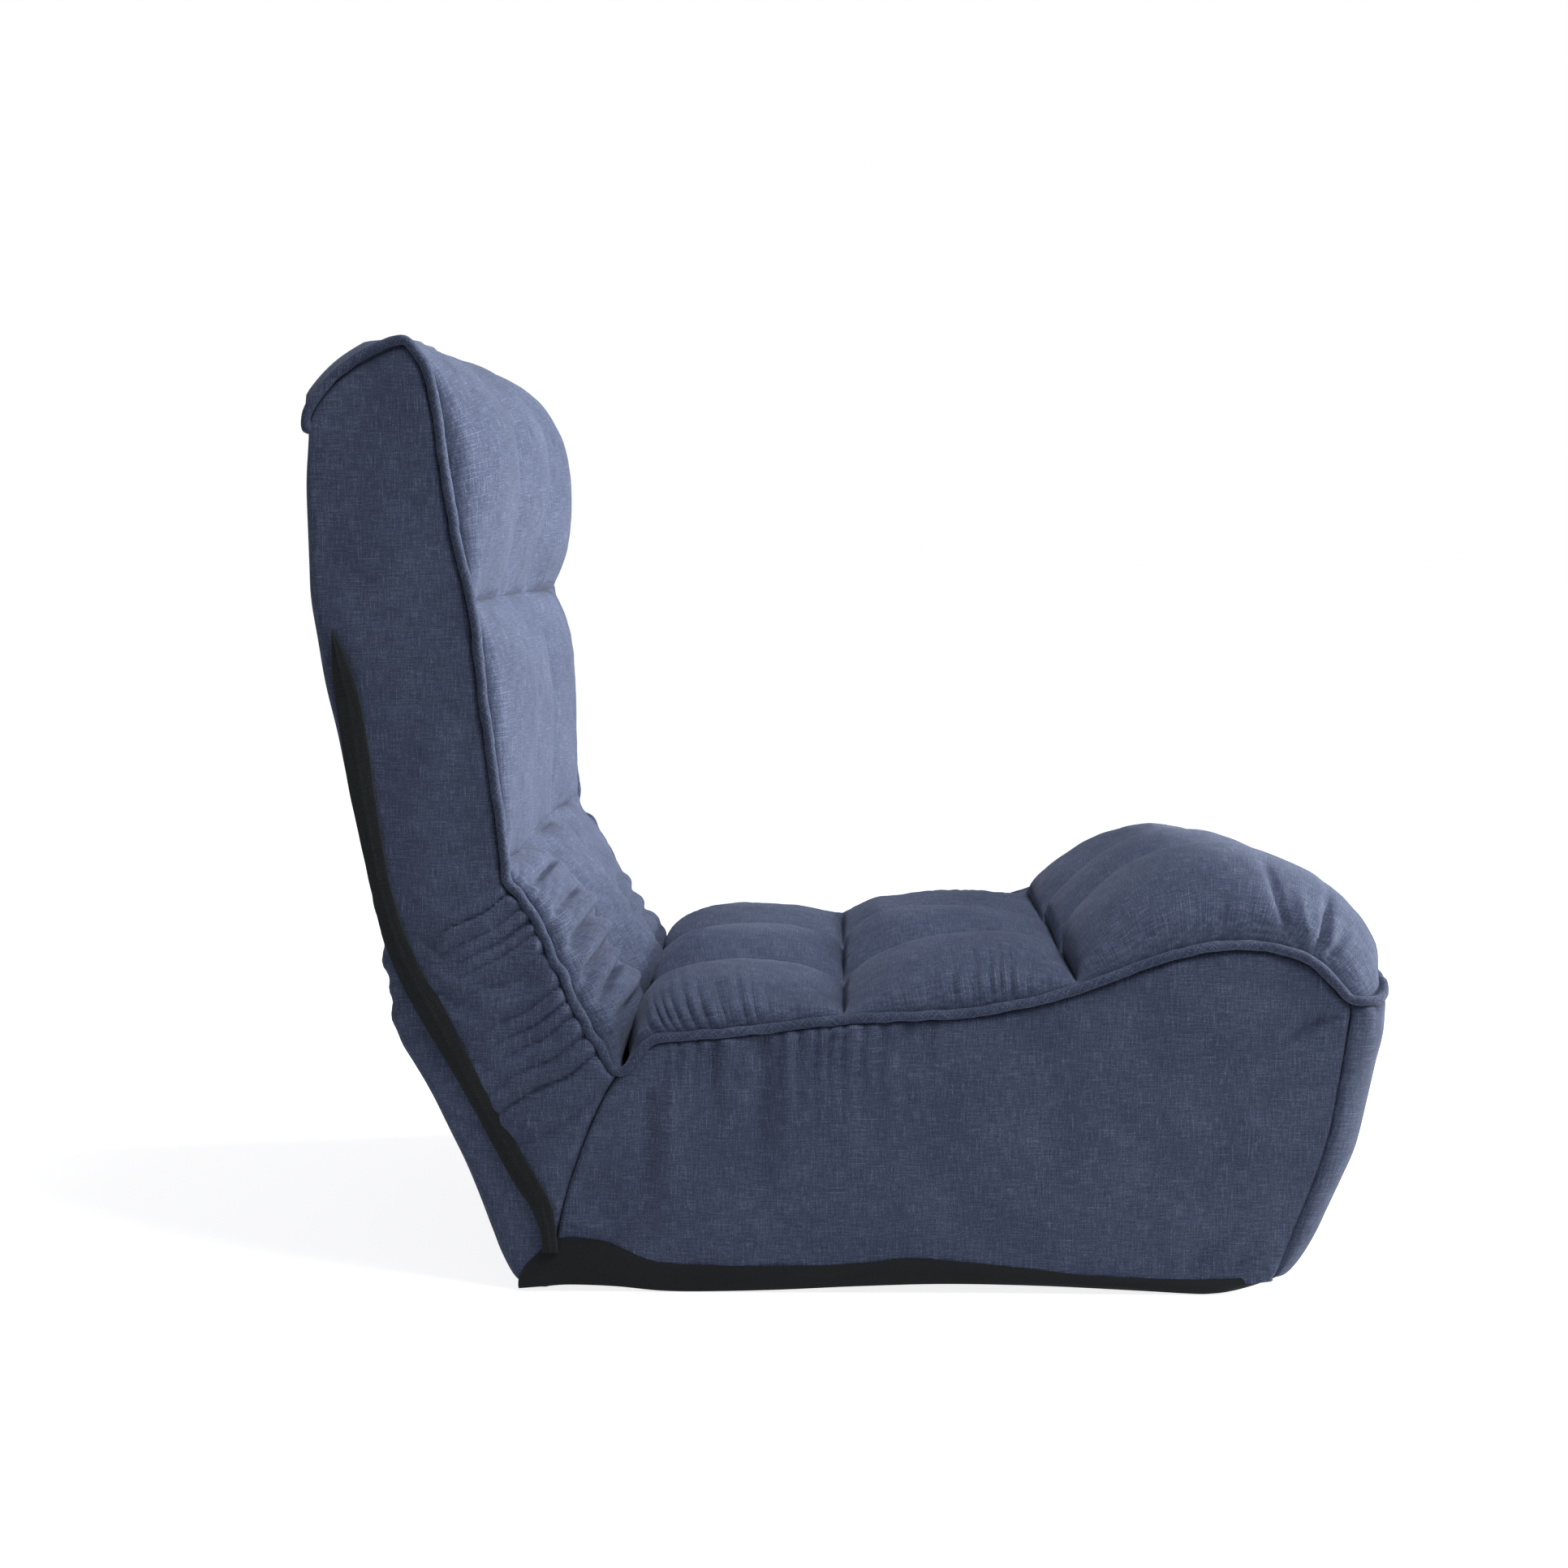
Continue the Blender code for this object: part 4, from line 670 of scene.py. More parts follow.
def lumbar_folds(outer, across, up, from_side, size):
    """Slack cloth at the small of the back: gathers from the piping that run on across the tufts."""
    low = clip01(up / 0.040) * clip01((size[1] - up) / 0.015)
    near = clip01((0.135 - from_side) / 0.03) * clip01(from_side / 0.012)
    deeper = np.interp(across, [0.20, 0.40], [1.3, 0.6])
    long_folds = deeper * folds(outer[..., 0], outer[..., 2], LUMBAR_FOLDS) * near
    short = deeper / 1.3 * gathers(up - 0.30 * from_side, from_side, 0.0135, 0.030, 35)
    far_in = clip01(from_side / 0.03 - 3)
    inner_folds = gathers(up + 0.15 * across, 0 * from_side, 0.029, 0.1, 37) * far_in
    return long_folds + low * (0.0030 * short + 0.0038 * inner_folds)


tufted_row(
    "lumbar_tufts", part_of(inside_back, CREASE, MID_SEAM, 60),
    [mm(-168.5, 168, -163, 180, -158, 196, -158, 208, -166, 221, -178, 235, -187, 257, -199, 281, -212, 297,
        -229, 312, -247, 317),
     mm(-168.5, 168, -162, 182, -156, 198, -155, 211, -162, 224, -173, 237, -187, 255, -200, 275, -216, 296,
        -233, 312, -251, 317),
     mm(-168.5, 168, -165, 181, -163, 194, -165, 203, -173, 212, -183, 224, -196, 243, -210, 261, -222, 280,
        -236, 300, -253, 316)],
    "lumbar_quilt", bends_at_hinge, lumbar_folds, seam=0.16, edge=0.08, fine=(3, 2))

# %% Seat rows and knee roll
inside_seat = aside(seat_edge, SEAM_INSET)
SEAT_START, SEAT_SEAM, ROLL_SEAM, SEAT_END = mm(-165.5, 166.5, -4, 207, 166, 232, 375.5, 219.5)
tufted_row(
    "seat_tufts_rear", part_of(inside_seat, SEAT_START, SEAT_SEAM, 50),
    [mm(-167, 170, -165, 184, -161, 200, -148, 217, -126, 227.5, -84, 233, -42, 229, -19, 220.5, -6, 211),
     mm(-167, 170, -165, 186, -161, 203, -148, 218, -127, 229.5, -88, 235, -48, 234, -20, 227, -6, 219.5),
     mm(-167, 170, -165, 184, -162, 199, -150, 212, -126, 221.5, -88, 226.5, -46, 224, -19, 219, -6, 215)],
    "seat_quilt", "seat", short_gathers(0.0115, 0.026, 0.0050, 0.02, 0.15, seed=41), seam=0.32, fine=(4, 2))
tufted_row(
    "seat_tufts_front", part_of(inside_seat, SEAT_SEAM, ROLL_SEAM, 50),
    [mm(-3, 211, 6, 224, 20, 235, 44, 246, 78, 254, 116, 255.5, 142, 251, 158, 242, 165, 236),
     mm(-3, 219.5, 7, 233, 24, 243.5, 45, 249, 70, 251, 111, 250, 142, 244, 158, 239, 166, 236),
     mm(-3, 215, 9, 223.5, 27, 231, 45, 233, 70, 237, 112, 237.5, 140, 234.5, 157, 231, 166, 232.5)],
    "seat_quilt", "seat", short_gathers(0.0115, 0.026, 0.0048, 0.07, 0.17, seed=43), seam=0.32, fine=(4, 2))

ROLL_PLEATS = mm(
    323.5, 257, 309, 318, 4, -9,  329, 255, 324, 292, 3, -4.5,  338.5, 248, 362, 302, 4, -9.5,
    343.5, 243, 372, 275, 4.5, -5,  331.5, 258, 334.5, 305, 5.5, 3,  302, 260, 288, 292, 5, -3,
    285, 261, 272, 288, 5, -2.8,  262, 260, 250, 288, 5, -2.4,  225, 248, 217, 270, 5, -2.6,
    205, 240, 200, 262, 4.5, -2.6, each=6)


def roll_pleats(outer, across, up, from_side, size):
    """Pleats sewn in where the cloth turns the front corner, at both sides."""
    near = clip01(1.3 - from_side / 0.075)
    lower = gathers(across, np.maximum(size[1] - up, 0), 0.020, 0.040, 47)
    return folds(outer[..., 0], outer[..., 2], ROLL_PLEATS) * near + 0.0016 * lower


def roll_width(base):
    """The roll narrows where the front corner is round in plan."""
    ahead = np.clip(base[:, 0] - 0.3655, 0, CORNER)
    return QUILT_Y - CORNER + np.sqrt(CORNER ** 2 - ahead ** 2)


def follows_the_front_seam(points):
    """The roll's lower edge dips with the front piping at both corners and fills the corner in plan."""
    near_end = clip01((np.linspace(0, 1, points.shape[0])[:, None] - 0.84) / 0.12) ** 1.5
    moved = points.copy()
    moved[..., 2] += (front_rise(points[..., 1]) - front_rise(0)) * near_end
    past = np.clip(np.abs(points[..., 1]) - 0.2358, 0, 0.0295)
    reach = 0.3615 + np.sqrt(CORNER ** 2 - past ** 2)
    moved[..., 0] = np.maximum(moved[..., 0], moved[..., 0] * (1 - near_end) + reach * near_end)
    return moved


tufted_row(
    "knee_roll_tufts", part_of(inside_seat, ROLL_SEAM, SEAT_END, 70),
    [mm(165.5, 236, 163.5, 250, 168, 265, 182.5, 283, 205, 303, 236.5, 318, 270, 324.5, 305, 320.5,
        338.5, 307.5, 369, 288, 387, 269, 396.5, 249, 396.5, 232.5, 390, 218),
     mm(166, 236, 166, 246, 170, 257, 192, 280, 224, 303, 256, 314.5, 290, 315, 320, 306, 346, 293,
        368, 276, 383, 260, 391.5, 243, 394, 231.5, 390, 218),
     mm(166, 234, 167, 242, 174, 252, 193, 269, 229, 289.5, 265, 299.5, 300, 296, 326, 287, 349, 275,
        369, 262, 383, 250, 390.5, 239, 393, 230.5, 389, 218)],
    "knee_roll", "seat", roll_pleats, seam=0.45, width=roll_width, shape=follows_the_front_seam)

# %% [markdown]
# ## Side cloth
# Each side of the chair is one panel of cloth on thin foam for the back and the head, and one for the seat.
# A panel between four seam lines is a patch that follows all four edges, which is how a pattern cutter
# draws it. It is drawn in at its edges, and folds and gathers are added where the cloth is slack.

# %% Patch between four seam lines
def patch(bottom, top, left, right, columns, rows):
    """Points in the side view between four lines that meet at their ends."""
    u = np.linspace(0, 1, columns + 1)
    v = np.linspace(0, 1, rows + 1)
    low, high = along(bottom, u), along(top, u)
    west, east = along(left, v), along(right, v)
    u, v = u[None, :, None], v[:, None, None]
    level = low[None] * (1 - v) + high[None] * v + west[:, None] * (1 - u) + east[:, None] * u
    corners = low[0] * (1 - u) * (1 - v) + low[-1] * u * (1 - v) + high[0] * (1 - u) * v + high[-1] * u * v
    return level - corners


def edge_distance(flat):
    """Distance of each point of a patch from its left, right, bottom and top edges."""
    wide = np.concatenate([np.zeros((flat.shape[0], 1)),
                           np.cumsum(np.linalg.norm(np.diff(flat, axis=1), axis=2), axis=1)], axis=1)
    tall = np.concatenate([np.zeros((1, flat.shape[1])),
                           np.cumsum(np.linalg.norm(np.diff(flat, axis=0), axis=2), axis=0)], axis=0)
    return wide, wide[:, -1:] - wide, tall, tall[-1:] - tall


SIDE_FOAM = 0.0150


def side_panel(name, flat, side, height, nodes, moves):
    """A closed panel on one side of the chair; height is how far each point stands out."""
    outer, inner = at_y(flat, side * (BODY_Y + height)), at_y(flat, side * (BODY_Y - SIDE_FOAM))
    piece = closed_panel(name, outer, inner, (1, 1), linen)
    weave, verts = piece.data.uv_layers["weave"].data, piece.data.vertices
    for loop in piece.data.loops:
        place = verts[loop.vertex_index].co
        weave[loop.index].uv = (place.x, place.z)
    declare(piece, nodes, moves)


# %% Seat sides
under_piping = aside(seat_edge, -PIPING_RADIUS * 0.8)
seat_top = part_of(under_piping, CREASE, (0.3655, 0.2155), 300)
seat_low = hem_line[hem_line[:, 0] > -0.2215] - np.array([0, 0.005])
seat_low = np.vstack([[-0.2215, seat_low[0, 1]], seat_low])
seam_up = side_seam[side_seam[:, 1] >= seat_low[0, 1]]
seam_up = np.vstack([seat_low[0], seam_up[:-6], seat_top[0]])
front_up = front_seam[front_seam[:, 1] > seat_low[-1, 1] + 0.002]
front_up = np.vstack([seat_low[-1], front_up[:-4], seat_top[-1]])
SEAT_SIDE_FOLDS = mm(
    -147, 140, -153, 50, 9, -4.8,  -62, 190, -68, 60, 10, -5,  -45, 185, -48, 80, 9, 3,
    -130, 150, -134, 50, 10, 3,  50, 190, 46, 110, 16, -2.4,  345, 205, 285, 160, 14, -8.5,
    300, 135, 345, 170, 16, -4.4,  255, 18, 292, 65, 10, -5.5,  285, 15, 312, 60, 9, -4.8,
    -200, 50, -140, 40, 10, 2.6,  240, 245, 236, 170, 18, 2.6,  -100, 180, -104, 110, 8, -3, each=6)
flat = patch(seat_low, seat_top, seam_up, front_up, 220, 84)
west, east, low, high = edge_distance(flat)
x, z = flat[..., 0], flat[..., 1]
shape = 0.0026 * clip01(np.minimum(np.minimum(west, east), np.minimum(low, high)) / 0.05)
shape = shape - 0.0050 * rounded_edge(high, 0.008) - 0.0024 * rounded_edge(east, 0.003)
shape = shape - 0.0026 * rounded_edge(west, 0.004)
slack = clip01((x + 0.15) / 0.03) * clip01((0.09 - x) / 0.04)
for side, word in SIDES:
    height = shape + 0.0048 * slack * gathers(x, high, 0.0150, 0.050, 51 + side)
    height += folds(x, z, SEAT_SIDE_FOLDS) + 0.0007 * ripple(x, z, 0.10, 53 + side)
    height += 0.00025 * ripple(x, z, 0.03, 57)
    side_panel("seat_side_cloth_" + word, flat, side, height, ["seat_side_" + word], "seat")

# %% Back and head sides
CUT_Z = 0.405
outer_back = aside(back_edge, PIPING_RADIUS * 0.8)
rear_inside = aside(rear_edge, -SEAM_INSET)
roof_corner = share_near(outer_back, TOP_CORNER)
front_all = np.vstack([side_seam[:-4] - np.array([0.0006, 0]),
                       along(outer_back, np.linspace(0.004, roof_corner, 700))])
roof_line = along(outer_back, np.linspace(0.995, roof_corner, 120))
rear_all = np.vstack([rear_inside[:-6], roof_line[0]])
foot_line = np.vstack([rear_all[0], front_all[0]])
BACK_SIDE_FOLDS = mm(
    -236, 300, -262, 278, 5, -3.4,  -240, 313, -285, 300, 6.5, 2.8,  -229, 280, -262, 252, 4.8, -3.4,
    -222, 262, -256, 236, 5, 2.6,  -214, 246, -250, 214, 5, -3.2,  -206, 228, -240, 196, 5, 2.4,
    -198, 214, -228, 184, 5, -2.6,  -188, 198, -212, 168, 4.5, -2,  -318, 262, -278, 245, 4.5, -2.6,
    -309, 240, -272, 222, 4.5, 2,  -301, 224, -268, 206, 4.5, -2.6,  -292, 206, -258, 184, 5, 1.8,
    -268, 168, -235, 130, 8, -1.8,  -236, 125, -215, 95, 8, 1.6,  -374, 676, -386, 652, 4.5, -3,
    -380, 530, -330, 470, 20, -1.8,  -300, 420, -330, 330, 22, 1.6, each=6)
flat = patch(foot_line, roof_line, rear_all, front_all, 66, 300)
west, east, low, high = edge_distance(flat)
x, z = flat[..., 0], flat[..., 1]
nearest = np.minimum(np.minimum(west, east), high)
shape = 0.0022 * clip01(nearest / 0.04) * clip01(z / 0.1)
shape = shape - 0.0055 * (1 - (1 - rounded_edge(high, 0.008)) * (1 - rounded_edge(east, 0.008))
                          * (1 - rounded_edge(west, 0.009)))
across_fold = 0.842 * z - 0.54 * x
slack = clip01((across_fold - 0.205) / 0.03) * clip01((0.395 - across_fold) / 0.012)
off_strip = np.clip((west - 0.028) / 0.020, 0.05, 1)
cut = int(np.argmin(np.abs(z.mean(axis=1) - CUT_Z)))
for side, word in SIDES:
    height = shape + 0.0085 * slack * off_strip * gathers(across_fold, east, 0.0155, 0.155, 61 + side)
    height += 0.0009 * slack * gathers(across_fold, np.abs(west - 0.018), 0.0120, 0.018, 63 + side)
    height += folds(x, z, BACK_SIDE_FOLDS) * clip01((west - 0.026) / 0.012)
    height += 0.0007 * ripple(x, z, 0.09, 65 + side) + 0.00025 * ripple(x, z, 0.028, 67)
    side_panel("back_side_cloth_" + word, flat[:cut + 1], side, height[:cut + 1],
               ["back_side_" + word, "crease_gusset_" + word], bends_at_hinge)
    side_panel("head_side_cloth_" + word, flat[cut:], side, height[cut:],
               ["head_side_" + word], bends_at_neck)

# %% [markdown]
# ## Piping
# A cord wrapped in a bias strip is sewn into the seams of the cover. It is a tube that follows the
# seam line. A real one is never quite even, so its thickness and its path vary by a few tenths of a
# millimetre. One long welt runs down one side of the back, round the seat and up the other side, and
# each side of the head has its own.

# %% Piping helper
WELT_RADIUS = 0.0037
WELT_STEP = 0.0020
ROUND_WELT = 14


def slack_at_the_crease(line):
    """The piping wanders more where the cloth is gathered, from the crease to the small of the back."""
    return 1 + 3.0 * clip01((-0.165 - line[:, 0]) / 0.01) * clip01((0.335 - line[:, 2]) / 0.02)


def piping(name, path, begin, tapers):
    """A sewn tube along a path in space; begin is where it starts along the whole seam, in metres."""
    count = int(round(lengths(path)[-1] / WELT_STEP))
    line = evenly(path, count)
    travelled = lengths(line)
    way = unit(np.gradient(line, axis=0))
    out = np.cross(way, [0.0, 1.0, 0.0])
    flatness = np.linalg.norm(out, axis=1, keepdims=True)
    out = np.where(flatness > 0.2, out / np.maximum(flatness, 1e-9), np.array([0.0, 0.0, 1.0]))
    other = np.cross(way, out)
    place = travelled + begin
    thick = WELT_RADIUS * (1 + 0.06 * wobble(place / 0.012, 71) + 0.05 * wobble(place / 0.0045, 72))
    loose = slack_at_the_crease(line)
    line = line + out * (0.0004 * loose * wobble(place / 0.012, 73))[:, None]
    line = line + other * (0.0003 * loose * wobble(place / 0.014, 75))[:, None]
    if tapers:
        to_end = np.clip((travelled[-1] - travelled) / WELT_RADIUS, 0.02, 1)
        thick = thick * np.sin(to_end * math.pi / 2) ** 0.6
    angle = np.linspace(0, 2 * math.pi, ROUND_WELT + 1)
    ring = np.cos(angle)[None, :, None] * out[:, None, :] + np.sin(angle)[None, :, None] * other[:, None, :]
    mesh, places = grid_mesh(ROUND_WELT, count, (2 * math.pi * WELT_RADIUS, travelled[-1]))
    move_to(mesh, places, line[:, None, :] + ring * thick[:, None, None])
    weave = mesh.loops.layers.uv["weave"]
    for face in mesh.faces:
        for loop in face.loops:
            u, v = loop[weave].uv
            loop[weave].uv = ((u - v) * math.sqrt(0.5), (u + v) * math.sqrt(0.5))
    bmesh.ops.remove_doubles(mesh, verts=list(mesh.verts), dist=1e-6)
    rims = [e for e in mesh.edges if e.is_boundary]
    bmesh.ops.holes_fill(mesh, edges=rims, sides=0)
    for edge in rims:
        edge.smooth = False
    bmesh.ops.recalc_face_normals(mesh, faces=list(mesh.faces))
    return as_object(name, mesh, piping_linen)


# %% Piping round the head
before_roof = int(len(back_edge) * roof_corner)
cut_share = np.interp(CUT_Z, back_edge[:before_roof, 1], np.linspace(0, roof_corner, before_roof))
low_part = along(back_edge, np.linspace(0.0, cut_share, 300))
high_part = along(back_edge, np.linspace(cut_share, 1, 300))
low_length = lengths(low_part)[-1]
for side, word in SIDES:
    welt = piping("head_welt_" + word, at_y(high_part, side * PIPING_Y), low_length, tapers=True)
    declare(welt, ["head_piping_" + word], bends_at_neck)


# %% Piping down the back and round the seat
def front_plan(offset, reach, rear):
    """Plan of the front with its two round corners, from the right side round to the left."""
    turn = np.linspace(0, math.pi / 2, 40)
    centre = np.array([reach - CORNER, HALF_WIDTH - offset - CORNER])
    corner = centre + CORNER * np.stack([np.cos(turn), np.sin(turn)], axis=1)
    half = np.vstack([[reach, 0.0], corner, [rear, HALF_WIDTH - offset]])
    other = half[::-1] * np.array([1, -1])
    return evenly(np.vstack([other, half[1:]]), 400)


plan = front_plan(PIPING_RADIUS, 0.3945, 0.3650)
front_run = np.stack([plan[:, 0], plan[:, 1], front_rise(plan[:, 1])], axis=1)
side_run = part_of(seat_edge, CREASE, (0.3640, 0.2205), 300)
down_the_back = np.vstack([low_part[::-1], side_run[1:]])
loop = np.vstack([at_y(down_the_back, -PIPING_Y), front_run[4:-4], at_y(down_the_back, PIPING_Y)[::-1]])
long_welt = piping("seat_and_back_welt", evenly(loop, 1600), -low_length, tapers=False)
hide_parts("seat_piping_left", "seat_piping_right", "front_piping",
            "back_piping_left", "back_piping_right")
bends_at_hinge(long_welt)
print(long_welt.name, len(long_welt.data.polygons), "faces")

# %% [markdown]
# ## Front panel
# The front is one panel on thin foam that turns both round corners and leans in towards the floor.
# It is a grid whose rows follow the plan of the front and whose columns follow the lean.

# %% Front panel
rows, columns = 70, 260
LOW_Z, HIGH_Z = 0.0125, 0.2240
FRONT_SIZE = (0.62, 0.215)
FRONT_FOAM, INNER_Y = 0.014, 0.2500
outer = np.empty((rows + 1, columns + 1, 3))
for row in range(rows + 1):
    height = LOW_Z + (HIGH_Z - LOW_Z) * row / rows
    reach = np.interp(height, front_reach[:, 1], front_reach[:, 0]) - 0.001
    seam = np.interp(height, front_seam[:, 1], front_seam[:, 0]) + 0.0006
    ring = evenly(front_plan(HALF_WIDTH - BODY_Y, reach, reach - 0.034), 2000)
    ring = evenly(ring[ring[:, 0] >= seam], columns)
    top = front_rise(ring[:, 1]) - 0.0035
    outer[row] = np.stack([ring[:, 0], ring[:, 1], LOW_Z + (top - LOW_Z) * row / rows], axis=1)
normal = normals_of(outer)
normal *= np.sign(normal[:, columns // 2, 0])[:, None, None]
across = np.linspace(0, FRONT_SIZE[0], columns + 1)[None, :]
up = np.linspace(0, FRONT_SIZE[1], rows + 1)[:, None]
to_top, to_side = FRONT_SIZE[1] - up, np.minimum(across, FRONT_SIZE[0] - across)
lift = 0.003 * np.sin(np.pi * up / FRONT_SIZE[1]) + 0.0007 * ripple(across, up, 0.09, 81)
lift += 0.0014 * gathers(across, to_top, 0.014, 0.020, 83)
lift -= 0.003 * rounded_edge(to_top, 0.006) + 0.0022 * rounded_edge(to_side, 0.003)
outer = outer + normal * lift[..., None]
inner = outer - normal * FRONT_FOAM
inner[..., 1] = np.clip(inner[..., 1], -INNER_Y, INNER_Y)
front_cloth = closed_panel("front_cloth", outer, inner, FRONT_SIZE, linen)
declare(front_cloth, ["seat_front_panel"], "seat")

# %% [markdown]
# ## Rear cloth
# One long strip of cloth runs from the floor up the back, over the top of the head and down to the
# front piping. It is slack at the hinge, where it needs length to let the back recline. It is made as
# two pieces, because its lower part bends between seat and back and its upper part at the neck.

# %% Rear cloth
roof_back = along(back_edge, np.linspace(1.0, roof_corner - 0.007, 200))
rear_line_all = np.vstack([rear_edge[:-30], roof_back[6:]])
steps = int(lengths(rear_line_all)[-1] / 0.0040)
rear_line = evenly(rear_line_all, steps)
columns = 132
ROOF_Z, ROOF_FULLNESS = 0.63, 0.0115
SLACK_Z, SLACK_REACH = 0.235, 0.045
REAR_CLOTH = 0.0035
share = np.linspace(0, 1, columns + 1)[None, :]
travelled = lengths(rear_line)[:, None]
z_line = rear_line[:, 1][:, None]
outside = aside(rear_line, 1.0) - rear_line
from_side = np.minimum(share, 1 - share) * 2 * BODY_Y
lift = 0.0035 * clip01(from_side / 0.06) * clip01(travelled / 0.1)
on_roof = clip01((z_line - 0.637) / 0.015) * clip01((travelled[-1] - travelled - 0.006) / 0.025)
lift += (ROOF_FULLNESS * clip01(from_side / 0.022) ** 0.7 - 0.0010) * on_roof
lift -= np.where(z_line > ROOF_Z, 0.0010, 0.0050) * rounded_edge(from_side, 0.010)
sag = np.exp(-((z_line - SLACK_Z) / SLACK_REACH) ** 2)
lift += sag * 0.0030 * ripple(share * 0.5, travelled, 0.07, 91)
lift += sag * 0.0022 * ripple(share * 0.14, travelled, 0.03, 92)
lift += 0.0008 * ripple(share * 0.53, travelled, 0.10, 93)
lift -= 0.001 * np.exp(-((z_line - 0.53) / 0.02) ** 2)
wide = (2 * share - 1) * np.where(z_line > ROOF_Z, QUILT_Y, BODY_Y - 0.0004)
outer = at_y(rear_line[:, None, :] + outside[:, None, :] * lift[..., None], wide)
inner = at_y(rear_line[:, None, :] + outside[:, None, :] * (lift - REAR_CLOTH)[..., None], wide)
cut = int(np.argmin(np.abs(rear_line[:steps // 2 + 40, 1] - CUT_Z)))

for name, span, nodes, bends, under in (
        ("lower", slice(0, cut + 1), ("rear_skirt", "back_rear_panel"), bends_at_hinge, "back_rear_pad"),
        ("upper", slice(cut, None), ("head_rear_panel",), bends_at_neck, "head_foam")):
    flat = (2 * BODY_Y, lengths(rear_line[span])[-1])
    piece = closed_panel("rear_cloth_" + name, outer[span], inner[span], flat, linen)
    declare(piece, nodes, bends)

# %% [markdown]
# ## Black underside, hem and zip strips
# The chair stands on black nonwoven cloth, turned up round the edge as a hem with an uneven top line.
# From its rear corners a black zip strip climbs the rear of each side and narrows to a point at the neck.

# %% Underside and hem
low_line = smooth_line(mm(-244, 2, -226, 3.5, -207, 5, -173, 4, -138, 0.8, -104, 0.5, -52, 2, 8, 5, 71, 7,
    140, 6, 208, 3, 250, 0.8, 266, 0.8, 284.5, 3.2, 301, 8.5, 311, 12.5), 300)
around, rows_in, rows_up = 420, 24, 10
REAR_X = -0.244
UNDERSIDE, STANDS_AT = 0.0009, 0.0008
ring = evenly(front_plan(HALF_WIDTH - BODY_Y - 0.0012, 0.3040, REAR_X), around)
hem_top = np.interp(ring[:, 0], hem_line[:, 0], hem_line[:, 1])
hem_low = np.interp(ring[:, 0], low_line[:, 0], low_line[:, 1])
spine = np.stack([np.clip(ring[:, 0], REAR_X, 0.300), np.zeros(around + 1)], axis=1)
sheet_rows = []
for part in np.arange(rows_in) / rows_in:
    place = spine * (1 - part) + ring * part
    low = STANDS_AT + (hem_low - STANDS_AT) * clip01((part - 0.75) / 0.25) ** 2
    sheet_rows.append(np.stack([place[:, 0], place[:, 1], low], axis=1))
levels = np.linspace(0, 0.04, 9)
lean = np.interp(levels, front_reach[:, 1], front_reach[:, 0]) - 0.303
front = clip01((ring[:, 0] - 0.28) / 0.03)
for part in np.arange(rows_up + 1) / rows_up:
    z = hem_low + (hem_top - hem_low) * part
    x = ring[:, 0] + front * np.interp(z, levels, lean)
    swell = 1 + 0.0022 * math.sin(math.pi * part) / BODY_Y
    sheet_rows.append(np.stack([x, ring[:, 1] * swell, z], axis=1))
outer = np.array(sheet_rows)
normal = normals_of(outer)
normal *= np.sign(-normal[2, around // 4, 2])
underside = closed_panel("underside_cloth", outer, outer - normal * UNDERSIDE, (1.6, 0.30), black_cloth)
merge = bmesh.new()
merge.from_mesh(underside.data)
bmesh.ops.remove_doubles(merge, verts=list(merge.verts), dist=2e-6)
merge.to_mesh(underside.data)
merge.free()
declare(underside, ["base_cloth"], "seat")

# %% Zip strips
strip_left = smooth_line(mm(-374.5, 487, -375, 460, -370, 418, -365, 380, -356, 334, -342, 269, -329, 234,
    -316, 208, -283, 151, -249, 87, -234, 63, -227, 43, -226, 30))
strip_right = smooth_line(mm(-373.5, 488, -366, 472, -356, 442, -349, 400, -339, 325, -328, 277, -310, 234,
    -299, 217, -265, 148, -232, 90, -219, 65, -215.5, 44, -214.5, 30))
count, wide = 150, 12
ZIP_TAPE = 0.0012
left, right = evenly(strip_left, count), evenly(strip_right, count)
part = np.linspace(0, 1, wide + 1)[None, :]
flat = left[:, None, :] * (1 - part[..., None]) + right[:, None, :] * part[..., None]
stand = 0.0053 - 0.0013 * rounded_edge(np.minimum(part, 1 - part) * 0.012, 0.003)
teeth = 0.0011 + 0.0005 * np.sin(np.linspace(0, 620, count + 1))[:, None]
stand = stand + np.exp(-((part - 0.5) / 0.09) ** 2) * teeth
stand = stand + 0.0006 * wobble(np.linspace(0, 40, count + 1), 97)[:, None]
for side, word in SIDES:
    outer, inner = at_y(flat, side * (BODY_Y + stand)), at_y(flat, side * (BODY_Y + stand - ZIP_TAPE))
    strip = closed_panel("zip_strip_" + word, outer, inner, (0.012, 0.52), zip_weave)
    declare(strip, ["zip_tape_" + word], bends_at_hinge)

# %% [markdown]
# ## Inside: foam blocks and slings
# Foam blocks and woven slings fill the cover. They hardly show, but a chair that is opened or turned over
# has them, so the foam's cut edges are rounded and the slings are woven belts with a slight sag.

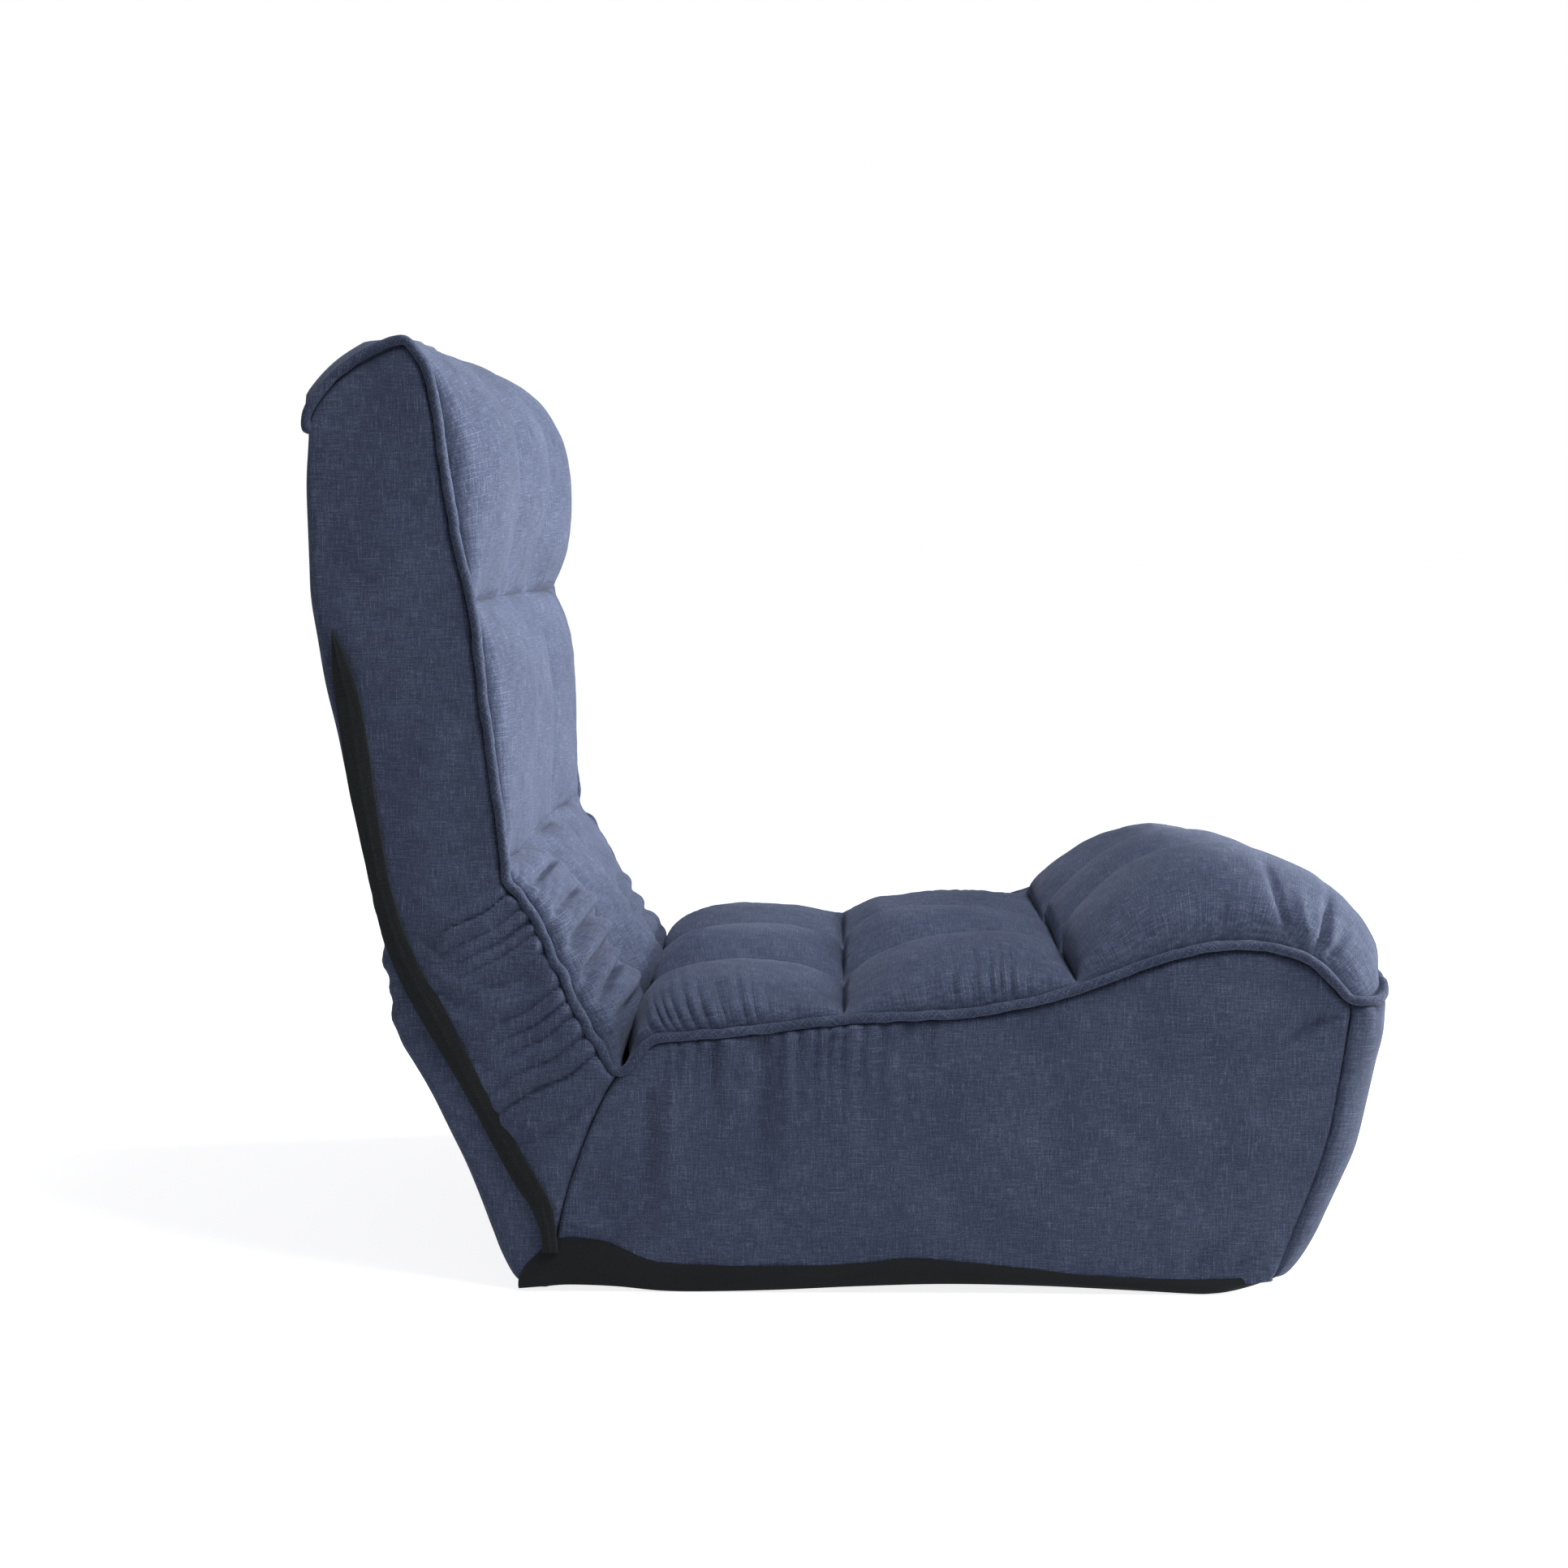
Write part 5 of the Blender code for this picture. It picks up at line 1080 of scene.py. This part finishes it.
# %% Foam blocks
CLEAR_OF_CLOTH = 0.003
for name, body in (("seat_foam", "seat"), ("back_foam", "backrest"), ("back_rear_pad", "backrest"),
                   ("head_foam", "headrest")):
    block = bmesh.new()
    block.from_mesh(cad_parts[name].data)
    bmesh.ops.remove_doubles(block, verts=list(block.verts), dist=1e-5)
    bmesh.ops.dissolve_limit(block, angle_limit=math.radians(1), verts=list(block.verts),
                             edges=list(block.edges))
    facing = Vector((0, 0, 1)) if body == "seat" else Vector((1, 0, 0.24))
    for vert in block.verts:
        if name != "back_rear_pad" and vert.normal.dot(facing) > 0.3:
            vert.co -= facing * (PULLED_IN + CLEAR_OF_CLOTH)
    sharp = [e for e in block.edges if len(e.link_faces) == 2 and e.calc_face_angle(0) > math.radians(40)]
    bmesh.ops.bevel(block, geom=sharp, offset=0.0015, segments=2, profile=0.5, affect="EDGES", material=-1)
    bmesh.ops.recalc_face_normals(block, faces=list(block.faces))
    declare(as_object(name + "_block", block, foam, smooth=False), [name], body)

# %% Slings
WEBBING = 0.0008
for name, body, tubes in (("seat_sling", "seat", "seat_frame"), ("back_sling", "backrest", "back_frame")):
    low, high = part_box(name)
    first, last = np.array([low.x, high.z]), np.array([high.x, high.z])
    if body == "backrest":
        first, last = np.array([high.x, low.z]), np.array([low.x, high.z])
    length = float(np.linalg.norm(last - first))
    way = (last - first) / length
    up = np.array([-way[1], way[0]]) * (1 if body == "seat" else -1)
    u, v = np.linspace(0, 1, 61)[None, :], np.linspace(0, 1, 49)[:, None]
    sag = (-0.0006 - 0.0004 * ripple(u, v, 0.4, 99))[..., None]
    line = (first + way * length * np.linspace(0.004, 0.996, 49)[:, None])[:, None, :]
    y = (2 * u - 1) * (high.y - 0.001)
    outer, inner = at_y(line + up * sag, y), at_y(line + up * (sag - WEBBING), y)
    piece = closed_panel(name + "_cloth", outer, inner, (2 * high.y, length), webbing)
    declare(piece, [name], body)

# %% [markdown]
# ## Stage, light and camera
# The chair stands on a plain white floor. A low softbox in front lights the face of the back, and one
# above the front right lights the tops of the tufts. The sky around gives the side its even tone.
# The camera stands where the photograph was taken, 2.2 m to the side and 0.55 m up.

# %% Floor and backdrop
def seen_directly(tree):
    """1 for rays from the camera and for reflections, 0 for the light that falls on the chair."""
    ray = add(tree, "ShaderNodeLightPath").outputs
    reflected = calc("MAXIMUM", ray["Is Glossy Ray"], ray["Is Transmission Ray"])
    return calc("MAXIMUM", ray["Is Camera Ray"], reflected)


ground = bmesh.new()
bmesh.ops.create_grid(ground, x_segments=1, y_segments=1, size=30.0)
bmesh.ops.translate(ground, verts=list(ground.verts), vec=(0, 0, -0.0005))
paper, tree, shader = new_finish("backlit_studio_paper")
tune(shader, {"Base Color": linear("f4f4f4"), "Roughness": 0.9, "Emission Color": grey(1.0)},
     {"Emission Strength": times(seen_directly(tree), 0.84)})
floor = as_object("studio_floor", ground, paper, smooth=False)

world = bpy.data.worlds.new("studio_sky")
bpy.context.scene.world = world
world.use_nodes = True
sky = world.node_tree
background = tune(sky.nodes["Background"], {"Color": linear("f0f4fc"), "Strength": 0.13})
white = add(sky, "ShaderNodeBackground", {"Color": grey(1.0), "Strength": 1.0})
mixed = add(sky, "ShaderNodeMixShader",
            links={0: seen_directly(sky), 1: background.outputs[0], 2: white.outputs[0]})
tune(sky.nodes["World Output"], links={"Surface": mixed.outputs[0]})

# %% Lamps
def lamp(name, place, target, size, power, colour, spread=180.0):
    """A soft square lamp that faces its target."""
    data = bpy.data.lights.new(name, "AREA")
    data.spread = math.radians(spread)
    data.size = size
    data.energy = power
    data.color = linear(colour)[:3]
    item = bpy.data.objects.new(name, data)
    item.location = place
    item.rotation_euler = (Vector(target) - Vector(place)).to_track_quat("-Z", "Y").to_euler()
    bpy.context.scene.collection.objects.link(item)


lamp("key_softbox", (2.60, 0.45, 0.82), (-0.25, 0.0, 0.62), 1.0, 15.5, "fffdf8", spread=50.0)
lamp("top_softbox", (0.9, -0.8, 2.3), (0.0, 0.0, 0.2), 1.1, 42.0, "ffffff")

# %% Camera
TILT_DOWN, TURNED = 5.3035, 1.1259
camera_data = bpy.data.cameras.new("photo_camera")
camera_data.sensor_width = 36.0
camera_data.lens = 60.42
camera = bpy.data.objects.new("photo_camera", camera_data)
camera.location = (-0.01039, -2.16650, 0.55316)
camera.rotation_euler = (math.radians(90 - TILT_DOWN), 0.0, math.radians(TURNED))
bpy.context.scene.collection.objects.link(camera)
bpy.context.scene.camera = camera
bpy.context.scene.view_settings.view_transform = "Standard"
